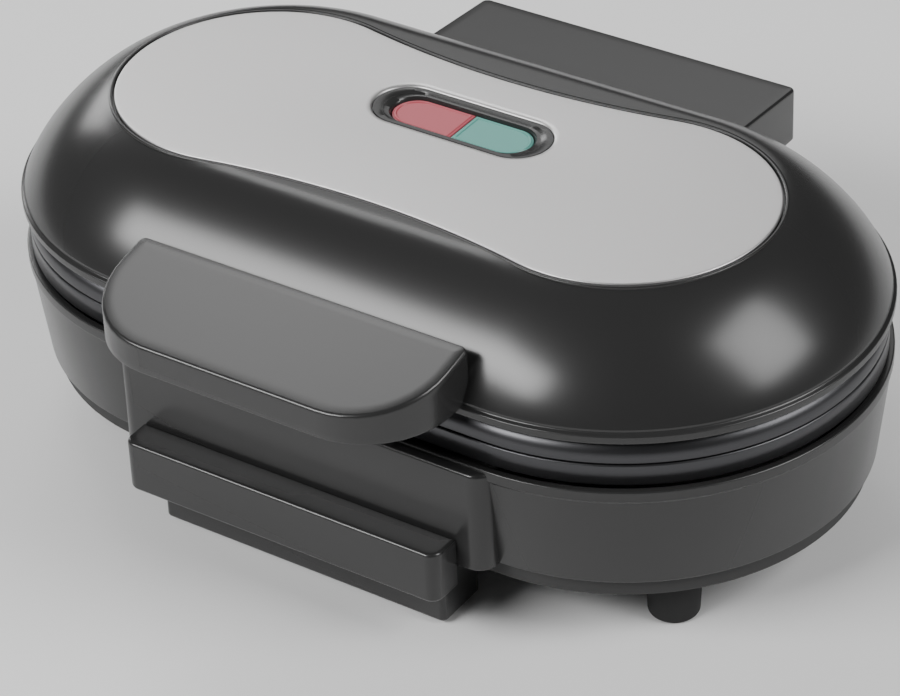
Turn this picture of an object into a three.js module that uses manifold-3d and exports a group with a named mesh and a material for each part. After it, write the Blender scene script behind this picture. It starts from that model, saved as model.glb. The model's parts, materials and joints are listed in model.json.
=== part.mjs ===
// A donut maker: a racetrack-shaped clamshell with two ring-mould cooking plates, hinged at the rear.
// Millimetres, +X along the length, -Y to the front (the handles), +Z up.
// The origin is on the floor under the middle.
import * as THREE from 'three';
import { mergeVertices } from 'three/addons/utils/BufferGeometryUtils.js';
import Module from 'manifold-3d';

const wasm = await Module();
wasm.setup();

// ---------------------------------------------------------------- driving dimensions
const CLEARANCE = 0.3;                 // gap between pieces that touch
const ARC_STEPS = 32;                  // facets round a full racetrack
const WALL = 2.5;                      // moulded wall

const END_CENTRE = 63;                 // centre of each round end of the body, from the middle
const BODY_RADIUS = 79;                // radius of the round ends at the lid's and base's rims
const OVERHANG = 32;                   // upper handle and hinge block beyond the rims

const FOOT_HEIGHT = 17.7;              // floor to the underside of the bottom cover
const BAND_HEIGHT = 5.7;               // visible edge of the bottom cover
const SHADOW_GAP = 1.6;                // dark gap above the base's rim
const PLATE_RIM_HEIGHT = 6.6;          // visible edge of each cooking plate
const PARTING_GAP = 0.4;               // between the two closed cooking plates
const LID_GAP = 1.1;                   // upper plate's edge to the lid's rim
const BAND_SETBACK = 6;                // cover edge inside the rim radius
const BASE_FOOT_SETBACK = 4;           // base wall's lower edge inside the rim radius
const BASE_RIM_DROP = 4;               // height of the base's rim lip
const BASE_RIM_STEP = 0.5;             // how far the lip stands out
const PLATE_SETBACK = 1.6;             // cooking plate's edge inside the rim radius

const PLATE_THICKNESS = 3;
const DONUT_RADIUS = 34;               // outer radius of one ring mould
const HUB_RADIUS = 9.5;                // radius of the post in the middle of a ring mould
const DONUT_DEPTH = 14;                // depth of the mould in one plate
const ROW_GAP = 6;                     // between the two rows of moulds
const MOULD_MARGIN = 3.2;              // mould to the edge of the plate
const MOULD_SKIN = 2.5;                // metal round a mould, on the hidden side
const BASE_ROOM = 21;                  // base wall's height beyond the mould's depth
const DOME_ROOM = 18.7;                // lid's height beyond the mould's depth
const SHOULDER_WIDTH = 32.5;           // lid's rim to its flat crown, in plan
const DOME_FULLNESS = 1.4;             // exponent of the dome's curve: 1 is a straight slope, 2 an ellipse

const ELEMENT_RADIUS = 3.3;            // sheathed heating element
const TERMINAL_GAP = 26;               // opening of the element's loop
const SHIELD_THICKNESS = 0.8;
const SHIELD_SETBACK = 15;             // edge of the heat shields inside the rim radius

const PLAQUE_THICKNESS = 1;            // steel plate on the lid
const PLAQUE_LOBE_RADIUS = 45.3;
const PLAQUE_WAIST = 38.7;             // half width of its waist
const PLAQUE_GAP = 0.6;                // dark line round it

const WINDOW_Y = 10.4;                 // lamp window, behind the middle of the lid
const WINDOW_CENTRE = 19.5;            // centre of the window's round ends
const WINDOW_RADIUS = 11;
const BEZEL_STEP = 0.6;                // depth of the step round the lenses
const LENS_CENTRE = 16.5;
const LENS_RADIUS = 7.5;
const LENS_DROP = 2;                   // lens face below the steel
const LENS_THICKNESS = 3;
const LAMP_RADIUS = 2.6;
const LAMP_LENGTH = 15;
const HOLDER_DROP = 1.7;               // lenses to the lamp holder
const HOLDER_DEPTH = 6;
const HOLDER_CORNER = 3;
const HOLDER_POST_RADIUS = 3;
const HOLDER_SCREW_GAP = 5;            // holder's screws beyond the lenses

const HANDLE_HALF_WIDTH = 57.4;        // upper handle and hinge block
const HANDLE_CORNER = 27;
const HANDLE_BACK_CORNER = 2.5;
const HANDLE_BOTTOM = 4.4;             // skirt's edge above the lid's rim
const HANDLE_BACK_HEIGHT = 20;         // top of the handle above the lid's rim, at its back
const HANDLE_FRONT_HEIGHT = 11.8;      // the same at the front edge
const HANDLE_BACK_INSET = 6;           // handle's back edge inside the rim radius

const LOWER_HANDLE_HALF_WIDTH = 56;
const LOWER_HANDLE_OVERHANG = 14.2;    // front face beyond the rim
const LOWER_HANDLE_DEPTH = 10.9;
const LOWER_HANDLE_HEIGHT = 17.2;
const LOWER_HANDLE_RISE = 10;          // foot of the base's wall to the top of the lower handle
const LOWER_HANDLE_CORNER = 4;
const BAR_HALF_WIDTH = 51;             // support bar under the lower handle
const BAR_OVERHANG = 3.5;              // bar's front beyond the rim
const BAR_DEPTH = 19;
const BAR_CORNER = 2;
const FLOOR_GAP = 1;                   // support bar and rear block above the floor
const PAD_HALF_WIDTH = 66;             // flat pad of the base behind the lower handle
const PAD_CORNER = 6;

const BLOCK_TOP_HEIGHT = 10.1;         // rear edge of the hinge block's top above the lid's rim
const BLOCK_TOP_RISE = 2.8;            // how much higher it is at its front
const BLOCK_CORNER = 9;
const HINGE_INSET = 10;                // hinge axis in front of the rear face
const HINGE_DROP = 3.4;                // hinge axis below the parting plane
const KNUCKLE_RADIUS = 6.5;
const KNUCKLE_WIDTH = 6;
const KNUCKLE_X = 40;                  // inner face of the base's knuckles
const KNUCKLE_GAP = 0.6;
const KNUCKLE_STEM = 5;                // half depth of the lid knuckles' stems
const KNUCKLE_FOOT = 15;               // length of the base knuckles' feet
const PIN_RADIUS = 2;
const PIN_HEAD_RADIUS = 3.2;
const PIN_HEAD_THICKNESS = 1.6;
const SWING_CLEARANCE = 0.8;           // round everything that the hinge block sweeps

const POST_RADIUS = 4.5;
const POST_SHOULDER_RADIUS = 6.5;
const POST_INSET = 9;                  // outer posts inside the heat shields' edge
const SCREW_RADIUS = 1.6;
const SCREW_HEAD_RADIUS = 3.2;
const SCREW_HEAD_HEIGHT = 1.6;
const POST_SCREW_LENGTH = 13;
const SCREW_HOLE_DEPTH = 14;
const HANDLE_SCREW_X = 32;
const HANDLE_SCREW_RISE = 6.3;         // above the handle's skirt
const HANDLE_SCREW_LENGTH = 15;
const LOWER_SCREW_LENGTH = 10;
const COVER_SCREW_X = 52;
const COVER_SCREW_INSET = 13;          // from the rim radius
const COVER_SCREW_LENGTH = 10;
const COVER_POST_HEIGHT = 12;
const SMALL_SCREW_RADIUS = 1.2;
const SMALL_SCREW_HEAD = 2.4;
const SMALL_SCREW_LENGTH = 9;
const FLANGE_WIDTH = 8;                // inner flange at the foot of the base's wall

const FOOT_RADIUS = 8.9;
const FOOT_OUT = 40.7;                 // feet beyond the end centres
const FOOT_Y = 41;
const FOOT_EDGE = 1.5;
const FOOT_STEM_RADIUS = 3.4;
const FOOT_BARB = 1.3;                 // barb wider than the stem
const FOOT_BARB_HEIGHT = 2.6;

const INLET_X = 38;                    // mains inlet in the rear block
const INLET_HEIGHT = 24;
const INLET_RADIUS = 6;
const INLET_BORE_RADIUS = 3.6;
const INLET_FLANGE = 2.5;              // flange wider than the body
const LEAD_RADIUS = 1.4;
const VENT_LENGTH = 26;
const VENT_WIDTH = 3;
const VENT_PITCH = 8;
const VENT_COUNT = 3;

const TERMINAL_X = 12;                 // ceramic terminal block on the bottom cover
const TERMINAL_INSET = 45;             // its front inside the rim radius
const TERMINAL_LENGTH = 30;
const TERMINAL_DEPTH = 14;
const TERMINAL_HEIGHT = 11;
const TERMINAL_PITCH = 9;
const WIRE_HOLE_RADIUS = 2.2;
const CLAMP_HOLE_RADIUS = 1.8;
const THERMOSTAT_RADIUS = 9;
const THERMOSTAT_BODY_RADIUS = 7;
const THERMOSTAT_HEIGHT = 9;
const THERMOSTAT_CAP = 3;
const BLADE_REACH = 13;
const BLADE_HALF_WIDTH = 3;
const BLADE_THICKNESS = 1;
const FUSE_RADIUS = 3;
const FUSE_HALF_LENGTH = 9;
const FUSE_WIRE_RADIUS = 0.8;

// ---------------------------------------------------------------- worked-out levels and places
const BASE_WALL_HEIGHT = DONUT_DEPTH + BASE_ROOM;
const DOME_HEIGHT = DONUT_DEPTH + DOME_ROOM;
const COVER_BOTTOM = FOOT_HEIGHT + CLEARANCE;
const COVER_FLOOR = COVER_BOTTOM + WALL;
const COVER_TOP = COVER_BOTTOM + BAND_HEIGHT;
const BASE_BOTTOM = COVER_TOP + CLEARANCE;
const BASE_RIM = BASE_BOTTOM + BASE_WALL_HEIGHT;
const LOWER_PLATE_BOTTOM = BASE_RIM + SHADOW_GAP;
const LOWER_PLATE_TOP = LOWER_PLATE_BOTTOM + PLATE_RIM_HEIGHT;
const PARTING = LOWER_PLATE_TOP + PARTING_GAP / 2;
const UPPER_PLATE_BOTTOM = PARTING + PARTING_GAP / 2;
const LID_RIM = UPPER_PLATE_BOTTOM + PLATE_RIM_HEIGHT + LID_GAP;
const LID_TOP = LID_RIM + DOME_HEIGHT;
const ROOF_THICKNESS = WALL + CLEARANCE;
const RECESS_FLOOR = LID_TOP - PLAQUE_THICKNESS - CLEARANCE;

const CROWN_RADIUS = BODY_RADIUS - SHOULDER_WIDTH;
const REACH = BODY_RADIUS + OVERHANG;
const PLATE_RADIUS = BODY_RADIUS - PLATE_SETBACK;
const SHIELD_RADIUS = BODY_RADIUS - SHIELD_SETBACK;
const BASE_FOOT_RADIUS = BODY_RADIUS - BASE_FOOT_SETBACK;
const HANDLE_BACK = BODY_RADIUS - HANDLE_BACK_INSET;
const LOWER_HANDLE_FRONT = BODY_RADIUS + LOWER_HANDLE_OVERHANG;
const BAR_FRONT = BODY_RADIUS + BAR_OVERHANG;
const PAD_FRONT = LOWER_HANDLE_FRONT - LOWER_HANDLE_DEPTH - CLEARANCE;
const FOOT_X = END_CENTRE + FOOT_OUT;
const TERMINAL_Y = BODY_RADIUS - TERMINAL_INSET;

const MOULD_RING = (DONUT_RADIUS + HUB_RADIUS) / 2;
const MOULD_HALF_WIDTH = (DONUT_RADIUS - HUB_RADIUS) / 2;
const MOULD_ROW = DONUT_RADIUS + ROW_GAP / 2;
const MOULD_REACH = PLATE_RADIUS - MOULD_MARGIN - DONUT_RADIUS;
const MOULD_COLUMN = END_CENTRE + Math.sqrt(MOULD_REACH ** 2 - MOULD_ROW ** 2);
const MOULD_PLACES = [-1, 0, 1].flatMap((i) => [-1, 1].map((j) => [i * MOULD_COLUMN, j * MOULD_ROW]));
const OUTER_POST = END_CENTRE + SHIELD_RADIUS - POST_INSET;
const POST_PLACES = [-OUTER_POST, -MOULD_COLUMN / 2, MOULD_COLUMN / 2, OUTER_POST];
const COVER_SCREW_Y = BODY_RADIUS - COVER_SCREW_INSET;
const fourPlaces = (x, y) => [-1, 1].flatMap((j) => [-1, 1].map((i) => [i * x, j * y]));
const COVER_SCREW_PLACES = fourPlaces(COVER_SCREW_X, COVER_SCREW_Y);
const FOOT_PLACES = fourPlaces(FOOT_X, FOOT_Y);

const ELEMENT_OFFSET = DONUT_DEPTH + MOULD_SKIN + CLEARANCE + ELEMENT_RADIUS;
const SHIELD_OFFSET = ELEMENT_OFFSET + ELEMENT_RADIUS + CLEARANCE;
const SHOULDER_OFFSET = SHIELD_OFFSET + SHIELD_THICKNESS + CLEARANCE;
const SHIELD_UNDERSIDE = LOWER_PLATE_TOP - SHIELD_OFFSET - SHIELD_THICKNESS - CLEARANCE;

const HINGE_Y = REACH - HINGE_INSET;
const HINGE_Z = PARTING - HINGE_DROP;
const BLOCK_REAR_TOP = LID_RIM + BLOCK_TOP_HEIGHT;
const SWEEP_RADIUS = Math.hypot(HINGE_INSET, BLOCK_REAR_TOP - HINGE_Z) + SWING_CLEARANCE;
const HANDLE_EDGE = LID_RIM + HANDLE_BOTTOM;
const LOWER_HANDLE_TOP = BASE_BOTTOM + LOWER_HANDLE_RISE;
const LOWER_HANDLE_BOTTOM = LOWER_HANDLE_TOP - LOWER_HANDLE_HEIGHT;

const SCREW_HOLE_RADIUS = SCREW_RADIUS + CLEARANCE;
const SCREW_SEAT_RADIUS = SCREW_HEAD_RADIUS + CLEARANCE;
const HANDLE_SCREW_Z = HANDLE_EDGE + HANDLE_SCREW_RISE;
const HANDLE_SCREW_HEAD = domeInnerWidth(HANDLE_SCREW_Z + SCREW_HEAD_RADIUS);
const HANDLE_SCREW_TIP = HANDLE_SCREW_HEAD + HANDLE_SCREW_LENGTH;
const LOWER_SCREW_Z = BASE_BOTTOM + WALL + SCREW_HEAD_RADIUS + 1;
const LOWER_SCREW_HEAD = PAD_FRONT - WALL - CLEARANCE - SCREW_HEAD_HEIGHT;
const LOWER_SCREW_TIP = LOWER_SCREW_HEAD + SCREW_HEAD_HEIGHT + LOWER_SCREW_LENGTH;
const HOLDER_TOP = LID_TOP - LENS_DROP - LENS_THICKNESS - 2 * CLEARANCE - HOLDER_DROP;
const HOLDER_SCREW_X = LENS_CENTRE + LENS_RADIUS + HOLDER_SCREW_GAP;
const LAMP_Z = HOLDER_TOP - 1;
const LEAD_HEIGHT = BASE_BOTTOM + WALL + INLET_RADIUS + 2;
const TERMINAL_BOTTOM = COVER_FLOOR + CLEARANCE;

// ---------------------------------------------------------------- materials
const finish = (color, roughness, metalness) =>
  new THREE.MeshStandardMaterial({ color, roughness, metalness });
const GLOSS_BLACK = finish(0x141416, 0.16, 0);
const SATIN_BLACK = finish(0x1d1d1f, 0.5, 0);
const STEEL = finish(0xc3c1c2, 0.38, 1);
const BRIGHT_STEEL = finish(0xb9bbbe, 0.25, 1);
const COATED = finish(0x3a3b3d, 0.55, 0.3);
const SHEATH = finish(0x6d6a66, 0.45, 0.9);
const TINPLATE = finish(0xa9abad, 0.4, 1);
const RUBBER = finish(0x101010, 0.8, 0);
const RED = finish(0xa84a52, 0.2, 0);
const GREEN = finish(0x4f9f92, 0.2, 0);
const LAMP = finish(0xe0a070, 0.2, 0);
const CERAMIC = finish(0xd8d2c4, 0.6, 0);
const BROWN_LEAD = finish(0x5a3420, 0.5, 0);
const BLUE_LEAD = finish(0x2f4f8f, 0.5, 0);

// ---------------------------------------------------------------- shapes
const part = new THREE.Group();

// A closed geometry as a solid that can be joined and cut.
function solid(geometry) {
  const bare = geometry.clone();
  bare.deleteAttribute('normal');
  bare.deleteAttribute('uv');
  const merged = mergeVertices(bare, 1e-4);
  const index = merged.index.array;
  const triangles = [];
  for (let i = 0; i < index.length; i += 3) {
    const [a, b, c] = index.slice(i, i + 3);
    if (a !== b && b !== c && c !== a) {
      triangles.push(a, b, c);
    }
  }
  const vertProperties = merged.attributes.position.array;
  const triVerts = new Uint32Array(triangles);
  return new wasm.Manifold(new wasm.Mesh({ numProp: 3, vertProperties, triVerts }));
}

const join = (first, ...others) => others.reduce((sum, other) => sum.add(other), first);
const cut = (first, ...others) => others.reduce((rest, other) => rest.subtract(other), first);
const ordered = (a, b) => [Math.min(a, b), Math.max(a, b)];

// Adds a solid to the part as a named mesh.
function piece(name, body, material) {
  const { vertProperties, triVerts } = body.getMesh();
  const geometry = new THREE.BufferGeometry();
  geometry.setAttribute('position', new THREE.BufferAttribute(vertProperties, 3));
  geometry.setIndex(new THREE.BufferAttribute(triVerts, 1));
  geometry.computeVertexNormals();
  const mesh = new THREE.Mesh(geometry, material);
  mesh.name = name;
  part.add(mesh);
}

// Turns a (radius, height) profile round Z, then pulls its two halves apart along X by the end centre,
// so that every circle becomes a racetrack. A profile that doesn't start and end on the axis is closed.
function swept(profile, centre = 0, steps = ARC_STEPS) {
  const points = profile.map(([r, z]) => new THREE.Vector2(r, z));
  if (THREE.ShapeUtils.isClockWise(points)) {
    points.reverse();
  }
  if (points[0].x > 0 || points.at(-1).x > 0) {
    points.push(points[0].clone());
  }
  const step = (2 * Math.PI) / steps;
  const geometry = new THREE.LatheGeometry(points, steps, step / 2);
  const position = geometry.attributes.position;
  for (let i = 0; i < position.count; i += 1) {
    const column = Math.floor(i / points.length);
    const side = Math.sign(Math.sin(step * (column + 0.5)));
    position.setX(i, position.getX(i) + side * centre);
  }
  geometry.rotateX(Math.PI / 2);
  return geometry;
}

const racetrackBody = (profile, centre = END_CENTRE) => solid(swept(profile, centre));
const turned = (profile, x, y, steps = 24) => solid(swept(profile, 0, steps).translate(x, y, 0));

function racetrack(radius, centre) {
  const shape = new THREE.Shape();
  shape.absarc(centre, 0, radius, -Math.PI / 2, Math.PI / 2, false);
  shape.absarc(-centre, 0, radius, Math.PI / 2, 1.5 * Math.PI, false);
  return shape;
}

// The steel plate's outline: two round lobes joined by two hollow arcs, grown outwards by an offset.
function dogBone(offset = 0) {
  const lobe = PLAQUE_LOBE_RADIUS + offset;
  const waist = PLAQUE_WAIST + offset;
  const hollow = (END_CENTRE ** 2 + waist ** 2 - lobe ** 2) / (2 * (lobe - waist));
  const tangent = Math.atan2(waist + hollow, -END_CENTRE);
  const shape = new THREE.Shape();
  shape.absarc(END_CENTRE, 0, lobe, -tangent, tangent, false);
  shape.absarc(0, waist + hollow, hollow, tangent - Math.PI, -tangent, true);
  shape.absarc(-END_CENTRE, 0, lobe, Math.PI - tangent, Math.PI + tangent, false);
  shape.absarc(0, -waist - hollow, hollow, tangent, Math.PI - tangent, true);
  return shape;
}

// A rectangle whose corners towards -Y (front) and +Y (back) have their own radii.
function plate(x0, x1, y0, y1, front, back) {
  const shape = new THREE.Shape();
  shape.moveTo(x0, y0 + front);
  const corner = (x, y, radius, start) => {
    if (radius > 0) {
      shape.absarc(x, y, radius, start, start + Math.PI / 2, false);
    } else {
      shape.lineTo(x, y);
    }
  };
  corner(x0 + front, y0 + front, front, Math.PI);
  corner(x1 - front, y0 + front, front, 1.5 * Math.PI);
  corner(x1 - back, y1 - back, back, 0);
  corner(x0 + back, y1 - back, back, Math.PI / 2);
  return shape;
}

function slab(shape, z0, z1, curveSegments = 6) {
  const geometry = new THREE.ExtrudeGeometry(shape, { depth: z1 - z0, bevelEnabled: false, curveSegments });
  return solid(geometry.translate(0, 0, z0));
}

function box(x0, x1, y0, y1, z0, z1) {
  const geometry = new THREE.BoxGeometry(x1 - x0, y1 - y0, z1 - z0);
  return solid(geometry.translate((x0 + x1) / 2, (y0 + y1) / 2, (z0 + z1) / 2));
}

// A (y, z) outline carried along X.
function profileAlongX(points, x0, x1) {
  const shape = new THREE.Shape(points.map(([y, z]) => new THREE.Vector2(y, z)));
  const geometry = new THREE.ExtrudeGeometry(shape, { depth: x1 - x0, bevelEnabled: false });
  const axes = [new THREE.Vector3(0, 1, 0), new THREE.Vector3(0, 0, 1), new THREE.Vector3(1, 0, 0)];
  geometry.applyMatrix4(new THREE.Matrix4().makeBasis(...axes)).translate(x0, 0, 0);
  return solid(geometry);
}

// A cylinder along an axis between two places in either order; across is its place on the other two axes.
function rod(axis, radius, start, end, across, steps = 8) {
  const geometry = new THREE.CylinderGeometry(radius, radius, Math.abs(end - start), steps);
  const middle = (start + end) / 2;
  if (axis === 'x') {
    geometry.rotateZ(Math.PI / 2).translate(middle, across[0], across[1]);
  } else if (axis === 'y') {
    geometry.translate(across[0], middle, across[1]);
  } else {
    geometry.rotateX(Math.PI / 2).translate(across[0], across[1], middle);
  }
  return solid(geometry);
}

// A round tube along points, closed at both ends.
function tube(points, radius, steps, sides = 8) {
  const section = new THREE.Shape();
  section.absarc(0, 0, radius, 0, 2 * Math.PI, false);
  const corners = points.map((point) => new THREE.Vector3(...point));
  const extrudePath = new THREE.CatmullRomCurve3(corners, false, 'centripetal');
  const options = { steps, curveSegments: sides / 2, bevelEnabled: false, extrudePath };
  return solid(new THREE.ExtrudeGeometry(section, options));
}

// ---------------------------------------------------------------- lid
// The dome rises from the rim along a superellipse and ends in a flat crown.
// At share h of its height it has used up 1 - (1 - h^n)^(1/n) of its shoulder, where n is its fullness.
function domeShare(share) {
  return (1 - share ** DOME_FULLNESS) ** (1 / DOME_FULLNESS);
}

function domeProfile(radius, rim, height, steps = 8) {
  const points = [[0, rim], [radius, rim]];
  for (let i = 1; i < steps; i += 1) {
    const share = Math.sin((i / steps) * (Math.PI / 2)) ** (2 / DOME_FULLNESS);
    points.push([CROWN_RADIUS + (radius - CROWN_RADIUS) * domeShare(share), rim + height * share]);
  }
  points.push([CROWN_RADIUS, rim + height], [0, rim + height]);
  return points;
}

const domeOuter = (grow = 0) =>
  racetrackBody(domeProfile(BODY_RADIUS + grow, LID_RIM - grow, DOME_HEIGHT + 2 * grow));

// Half width of the lid's inner surface at a height.
function domeInnerWidth(z) {
  const share = (z - LID_RIM) / (DOME_HEIGHT - ROOF_THICKNESS);
  return CROWN_RADIUS + (BODY_RADIUS - WALL - CROWN_RADIUS) * domeShare(share);
}

// Height of the lid's inner surface over the far side of a post on the middle line.
function domeInnerHeight(x) {
  const across = Math.max(Math.abs(x) + POST_SHOULDER_RADIUS - END_CENTRE - CROWN_RADIUS, 0);
  const share = across / (BODY_RADIUS - WALL - CROWN_RADIUS);
  return LID_RIM + (DOME_HEIGHT - ROOF_THICKNESS) * domeShare(share);
}

// The lid's hinge block, grown inwards by an inset. Below the rim it keeps clear of the cooking plates.
function hingeBlock(inset) {
  const front = BODY_RADIUS - BLOCK_CORNER;
  const top = (y) => BLOCK_REAR_TOP + (BLOCK_TOP_RISE * (REACH - y)) / (REACH - front) - inset;
  const rear = REACH - inset;
  const below = PARTING - inset;
  const half = HANDLE_HALF_WIDTH - inset;
  const outline = [[front, below], [rear, below], [rear, top(rear)], [front, top(front)]];
  const side = profileAlongX(outline, -half, half);
  const corner = Math.max(BLOCK_CORNER - inset, 0);
  const block = side.intersect(slab(plate(-half, half, front, rear, 0, corner), below - WALL, LID_TOP, 8));
  const reach = BODY_RADIUS + inset;
  const under = LID_RIM + inset;
  return cut(block, racetrackBody([[0, 0], [reach, 0], [reach, under], [0, under]]));
}

function lidKnuckle(side) {
  const inner = side * (KNUCKLE_X - KNUCKLE_GAP - KNUCKLE_WIDTH);
  const [x0, x1] = ordered(inner, inner + side * KNUCKLE_WIDTH);
  const [y0, y1] = [HINGE_Y - KNUCKLE_STEM, HINGE_Y + KNUCKLE_STEM];
  const stem = box(x0, x1, y0, y1, HINGE_Z, BLOCK_REAR_TOP - WALL / 2);
  return join(rod('x', KNUCKLE_RADIUS, x0, x1, [HINGE_Y, HINGE_Z], 24), stem);
}

// A post from the roof down to the upper plate, with a shoulder that holds the heat shield.
function upperPost(x) {
  const back = UPPER_PLATE_BOTTOM + PLATE_THICKNESS + CLEARANCE;
  const roof = domeInnerHeight(x) + WALL / 2;
  const shoulder = UPPER_PLATE_BOTTOM + SHOULDER_OFFSET;
  return join(
    rod('z', POST_RADIUS, back, roof, [x, 0]),
    rod('z', POST_SHOULDER_RADIUS, shoulder, roof, [x, 0]),
  );
}

function upperHousing() {
  const roof = DOME_HEIGHT - ROOF_THICKNESS;
  const inside = racetrackBody(domeProfile(BODY_RADIUS - WALL, LID_RIM - 1, roof + 1, 5));
  const block = cut(hingeBlock(WALL), domeOuter());
  let body = cut(join(domeOuter(), hingeBlock(0)), inside, block);
  body = cut(body, slab(dogBone(PLAQUE_GAP), RECESS_FLOOR, LID_TOP + 1));
  body = cut(body, windowSlab(LENS_CENTRE, LENS_RADIUS + WALL / 2 + 2 * CLEARANCE, LID_RIM, LID_TOP));
  for (const x of [-HOLDER_SCREW_X, HOLDER_SCREW_X]) {
    const at = [x, WINDOW_Y];
    body = join(body, rod('z', HOLDER_POST_RADIUS, HOLDER_TOP + CLEARANCE, RECESS_FLOOR - WALL / 4, at));
    body = cut(body, rod('z', SMALL_SCREW_RADIUS + CLEARANCE, LID_RIM, RECESS_FLOOR - WALL / 2, at));
  }
  const holeTop = UPPER_PLATE_BOTTOM + SCREW_HEAD_HEIGHT + SCREW_HOLE_DEPTH + 2 * CLEARANCE;
  for (const x of POST_PLACES) {
    body = join(body, upperPost(x));
    body = cut(body, rod('z', SCREW_HOLE_RADIUS, UPPER_PLATE_BOTTOM, holeTop, [x, 0]));
  }
  for (const side of [-1, 1]) {
    const at = [side * HANDLE_SCREW_X, HANDLE_SCREW_Z];
    const seat = -HANDLE_SCREW_HEAD - CLEARANCE;
    const boss = rod('y', POST_RADIUS, -BODY_RADIUS, seat, at).intersect(domeOuter());
    body = join(body, lidKnuckle(side), boss);
    body = cut(body, rod('y', SCREW_HOLE_RADIUS, -REACH, -CROWN_RADIUS, at));
    body = cut(body, rod('y', SCREW_SEAT_RADIUS, seat, -CROWN_RADIUS, at));
  }
  return cut(body, rod('x', PIN_RADIUS + CLEARANCE, -KNUCKLE_X, KNUCKLE_X, [HINGE_Y, HINGE_Z]));
}

function windowSlab(centre, radius, z0, z1) {
  return slab(racetrack(radius, centre), z0, z1).translate([0, WINDOW_Y, 0]);
}

function steelTopPlate() {
  const top = slab(dogBone(), RECESS_FLOOR + CLEARANCE, LID_TOP);
  return cut(top, windowSlab(WINDOW_CENTRE, WINDOW_RADIUS, RECESS_FLOOR, LID_TOP + 1));
}

function lampBezel() {
  const flangeTop = LID_TOP - CLEARANCE;
  const flangeBottom = RECESS_FLOOR + CLEARANCE;
  const flange = windowSlab(WINDOW_CENTRE, WINDOW_RADIUS - CLEARANCE, flangeBottom, flangeTop);
  const barrelRadius = LENS_RADIUS + CLEARANCE + WALL / 2;
  const barrel = windowSlab(LENS_CENTRE, barrelRadius, HOLDER_TOP + CLEARANCE, flangeTop);
  const lensHole = windowSlab(LENS_CENTRE, LENS_RADIUS + CLEARANCE, HOLDER_TOP, LID_TOP);
  const stepCentre = (WINDOW_CENTRE + LENS_CENTRE) / 2;
  const stepRadius = (WINDOW_RADIUS + LENS_RADIUS) / 2;
  const step = windowSlab(stepCentre, stepRadius, flangeTop - BEZEL_STEP, LID_TOP);
  return cut(join(flange, barrel), lensHole, step);
}

function lampLens(side) {
  const top = LID_TOP - LENS_DROP;
  const whole = windowSlab(LENS_CENTRE, LENS_RADIUS, top - LENS_THICKNESS, top);
  const reach = LENS_CENTRE + LENS_RADIUS + 1;
  const [x0, x1] = ordered((side * CLEARANCE) / 2, side * reach);
  return whole.intersect(box(x0, x1, WINDOW_Y - reach, WINDOW_Y + reach, LID_RIM, LID_TOP));
}

const lampCentre = (side) => (side * (LENS_CENTRE + LENS_RADIUS)) / 2;

function lampHolder() {
  const half = HOLDER_SCREW_X + HOLDER_POST_RADIUS;
  const [front, back] = [WINDOW_Y - LENS_RADIUS, WINDOW_Y + LENS_RADIUS];
  const outline = plate(-half, half, front, back, HOLDER_CORNER, HOLDER_CORNER);
  let body = slab(outline, HOLDER_TOP - HOLDER_DEPTH, HOLDER_TOP, 4);
  const radius = LAMP_RADIUS + CLEARANCE;
  for (const side of [-1, 1]) {
    const x0 = lampCentre(side) - LAMP_LENGTH / 2 - CLEARANCE;
    const x1 = lampCentre(side) + LAMP_LENGTH / 2 + CLEARANCE;
    const trough = rod('x', radius, x0, x1, [WINDOW_Y, LAMP_Z]);
    const mouth = box(x0, x1, WINDOW_Y - radius, WINDOW_Y + radius, LAMP_Z, HOLDER_TOP + 1);
    const at = [side * HOLDER_SCREW_X, WINDOW_Y];
    body = cut(body, trough, mouth, rod('z', SMALL_SCREW_RADIUS + CLEARANCE, LID_RIM, LID_TOP, at));
  }
  return body;
}

function neonLamp(side) {
  const middle = lampCentre(side);
  const half = LAMP_LENGTH / 2;
  return rod('x', LAMP_RADIUS, middle - half, middle + half, [WINDOW_Y, LAMP_Z], 12);
}

// A pan-head screw along Z: the head's outer face at z, the shank going up (+1) or down (-1).
function screwZ(x, y, z, direction, length, radius = SCREW_RADIUS, head = SCREW_HEAD_RADIUS) {
  const headEnd = z + direction * SCREW_HEAD_HEIGHT;
  const tip = headEnd + direction * length;
  return join(rod('z', head, z, headEnd, [x, y]), rod('z', radius, z, tip, [x, y], 6));
}

// A screw along Y whose shank goes to the front from a head at y.
function screwForward(x, y, z, length) {
  const head = rod('y', SCREW_HEAD_RADIUS, y - SCREW_HEAD_HEIGHT, y, [x, z]);
  return join(head, rod('y', SCREW_RADIUS, y - SCREW_HEAD_HEIGHT - length, y, [x, z], 6));
}

// The handle's solid shape: its plan outline under a top that slopes to the front.
function handleBody(inset) {
  const half = HANDLE_HALF_WIDTH - inset;
  const front = -REACH + inset;
  const back = -HANDLE_BACK - inset;
  const slope = (HANDLE_BACK_HEIGHT - HANDLE_FRONT_HEIGHT) / (REACH - HANDLE_BACK);
  const top = (y) => LID_RIM + HANDLE_FRONT_HEIGHT + slope * (y + REACH) - inset;
  const bottom = HANDLE_EDGE - inset;
  const outline = [[front, bottom], [back, bottom], [back, top(back)], [front, top(front)]];
  const backCorner = Math.max(HANDLE_BACK_CORNER - inset, 0);
  const plan = plate(-half, half, front, back, HANDLE_CORNER - inset, backCorner);
  return profileAlongX(outline, -half, half).intersect(slab(plan, bottom - 1, LID_TOP, 10));
}

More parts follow.
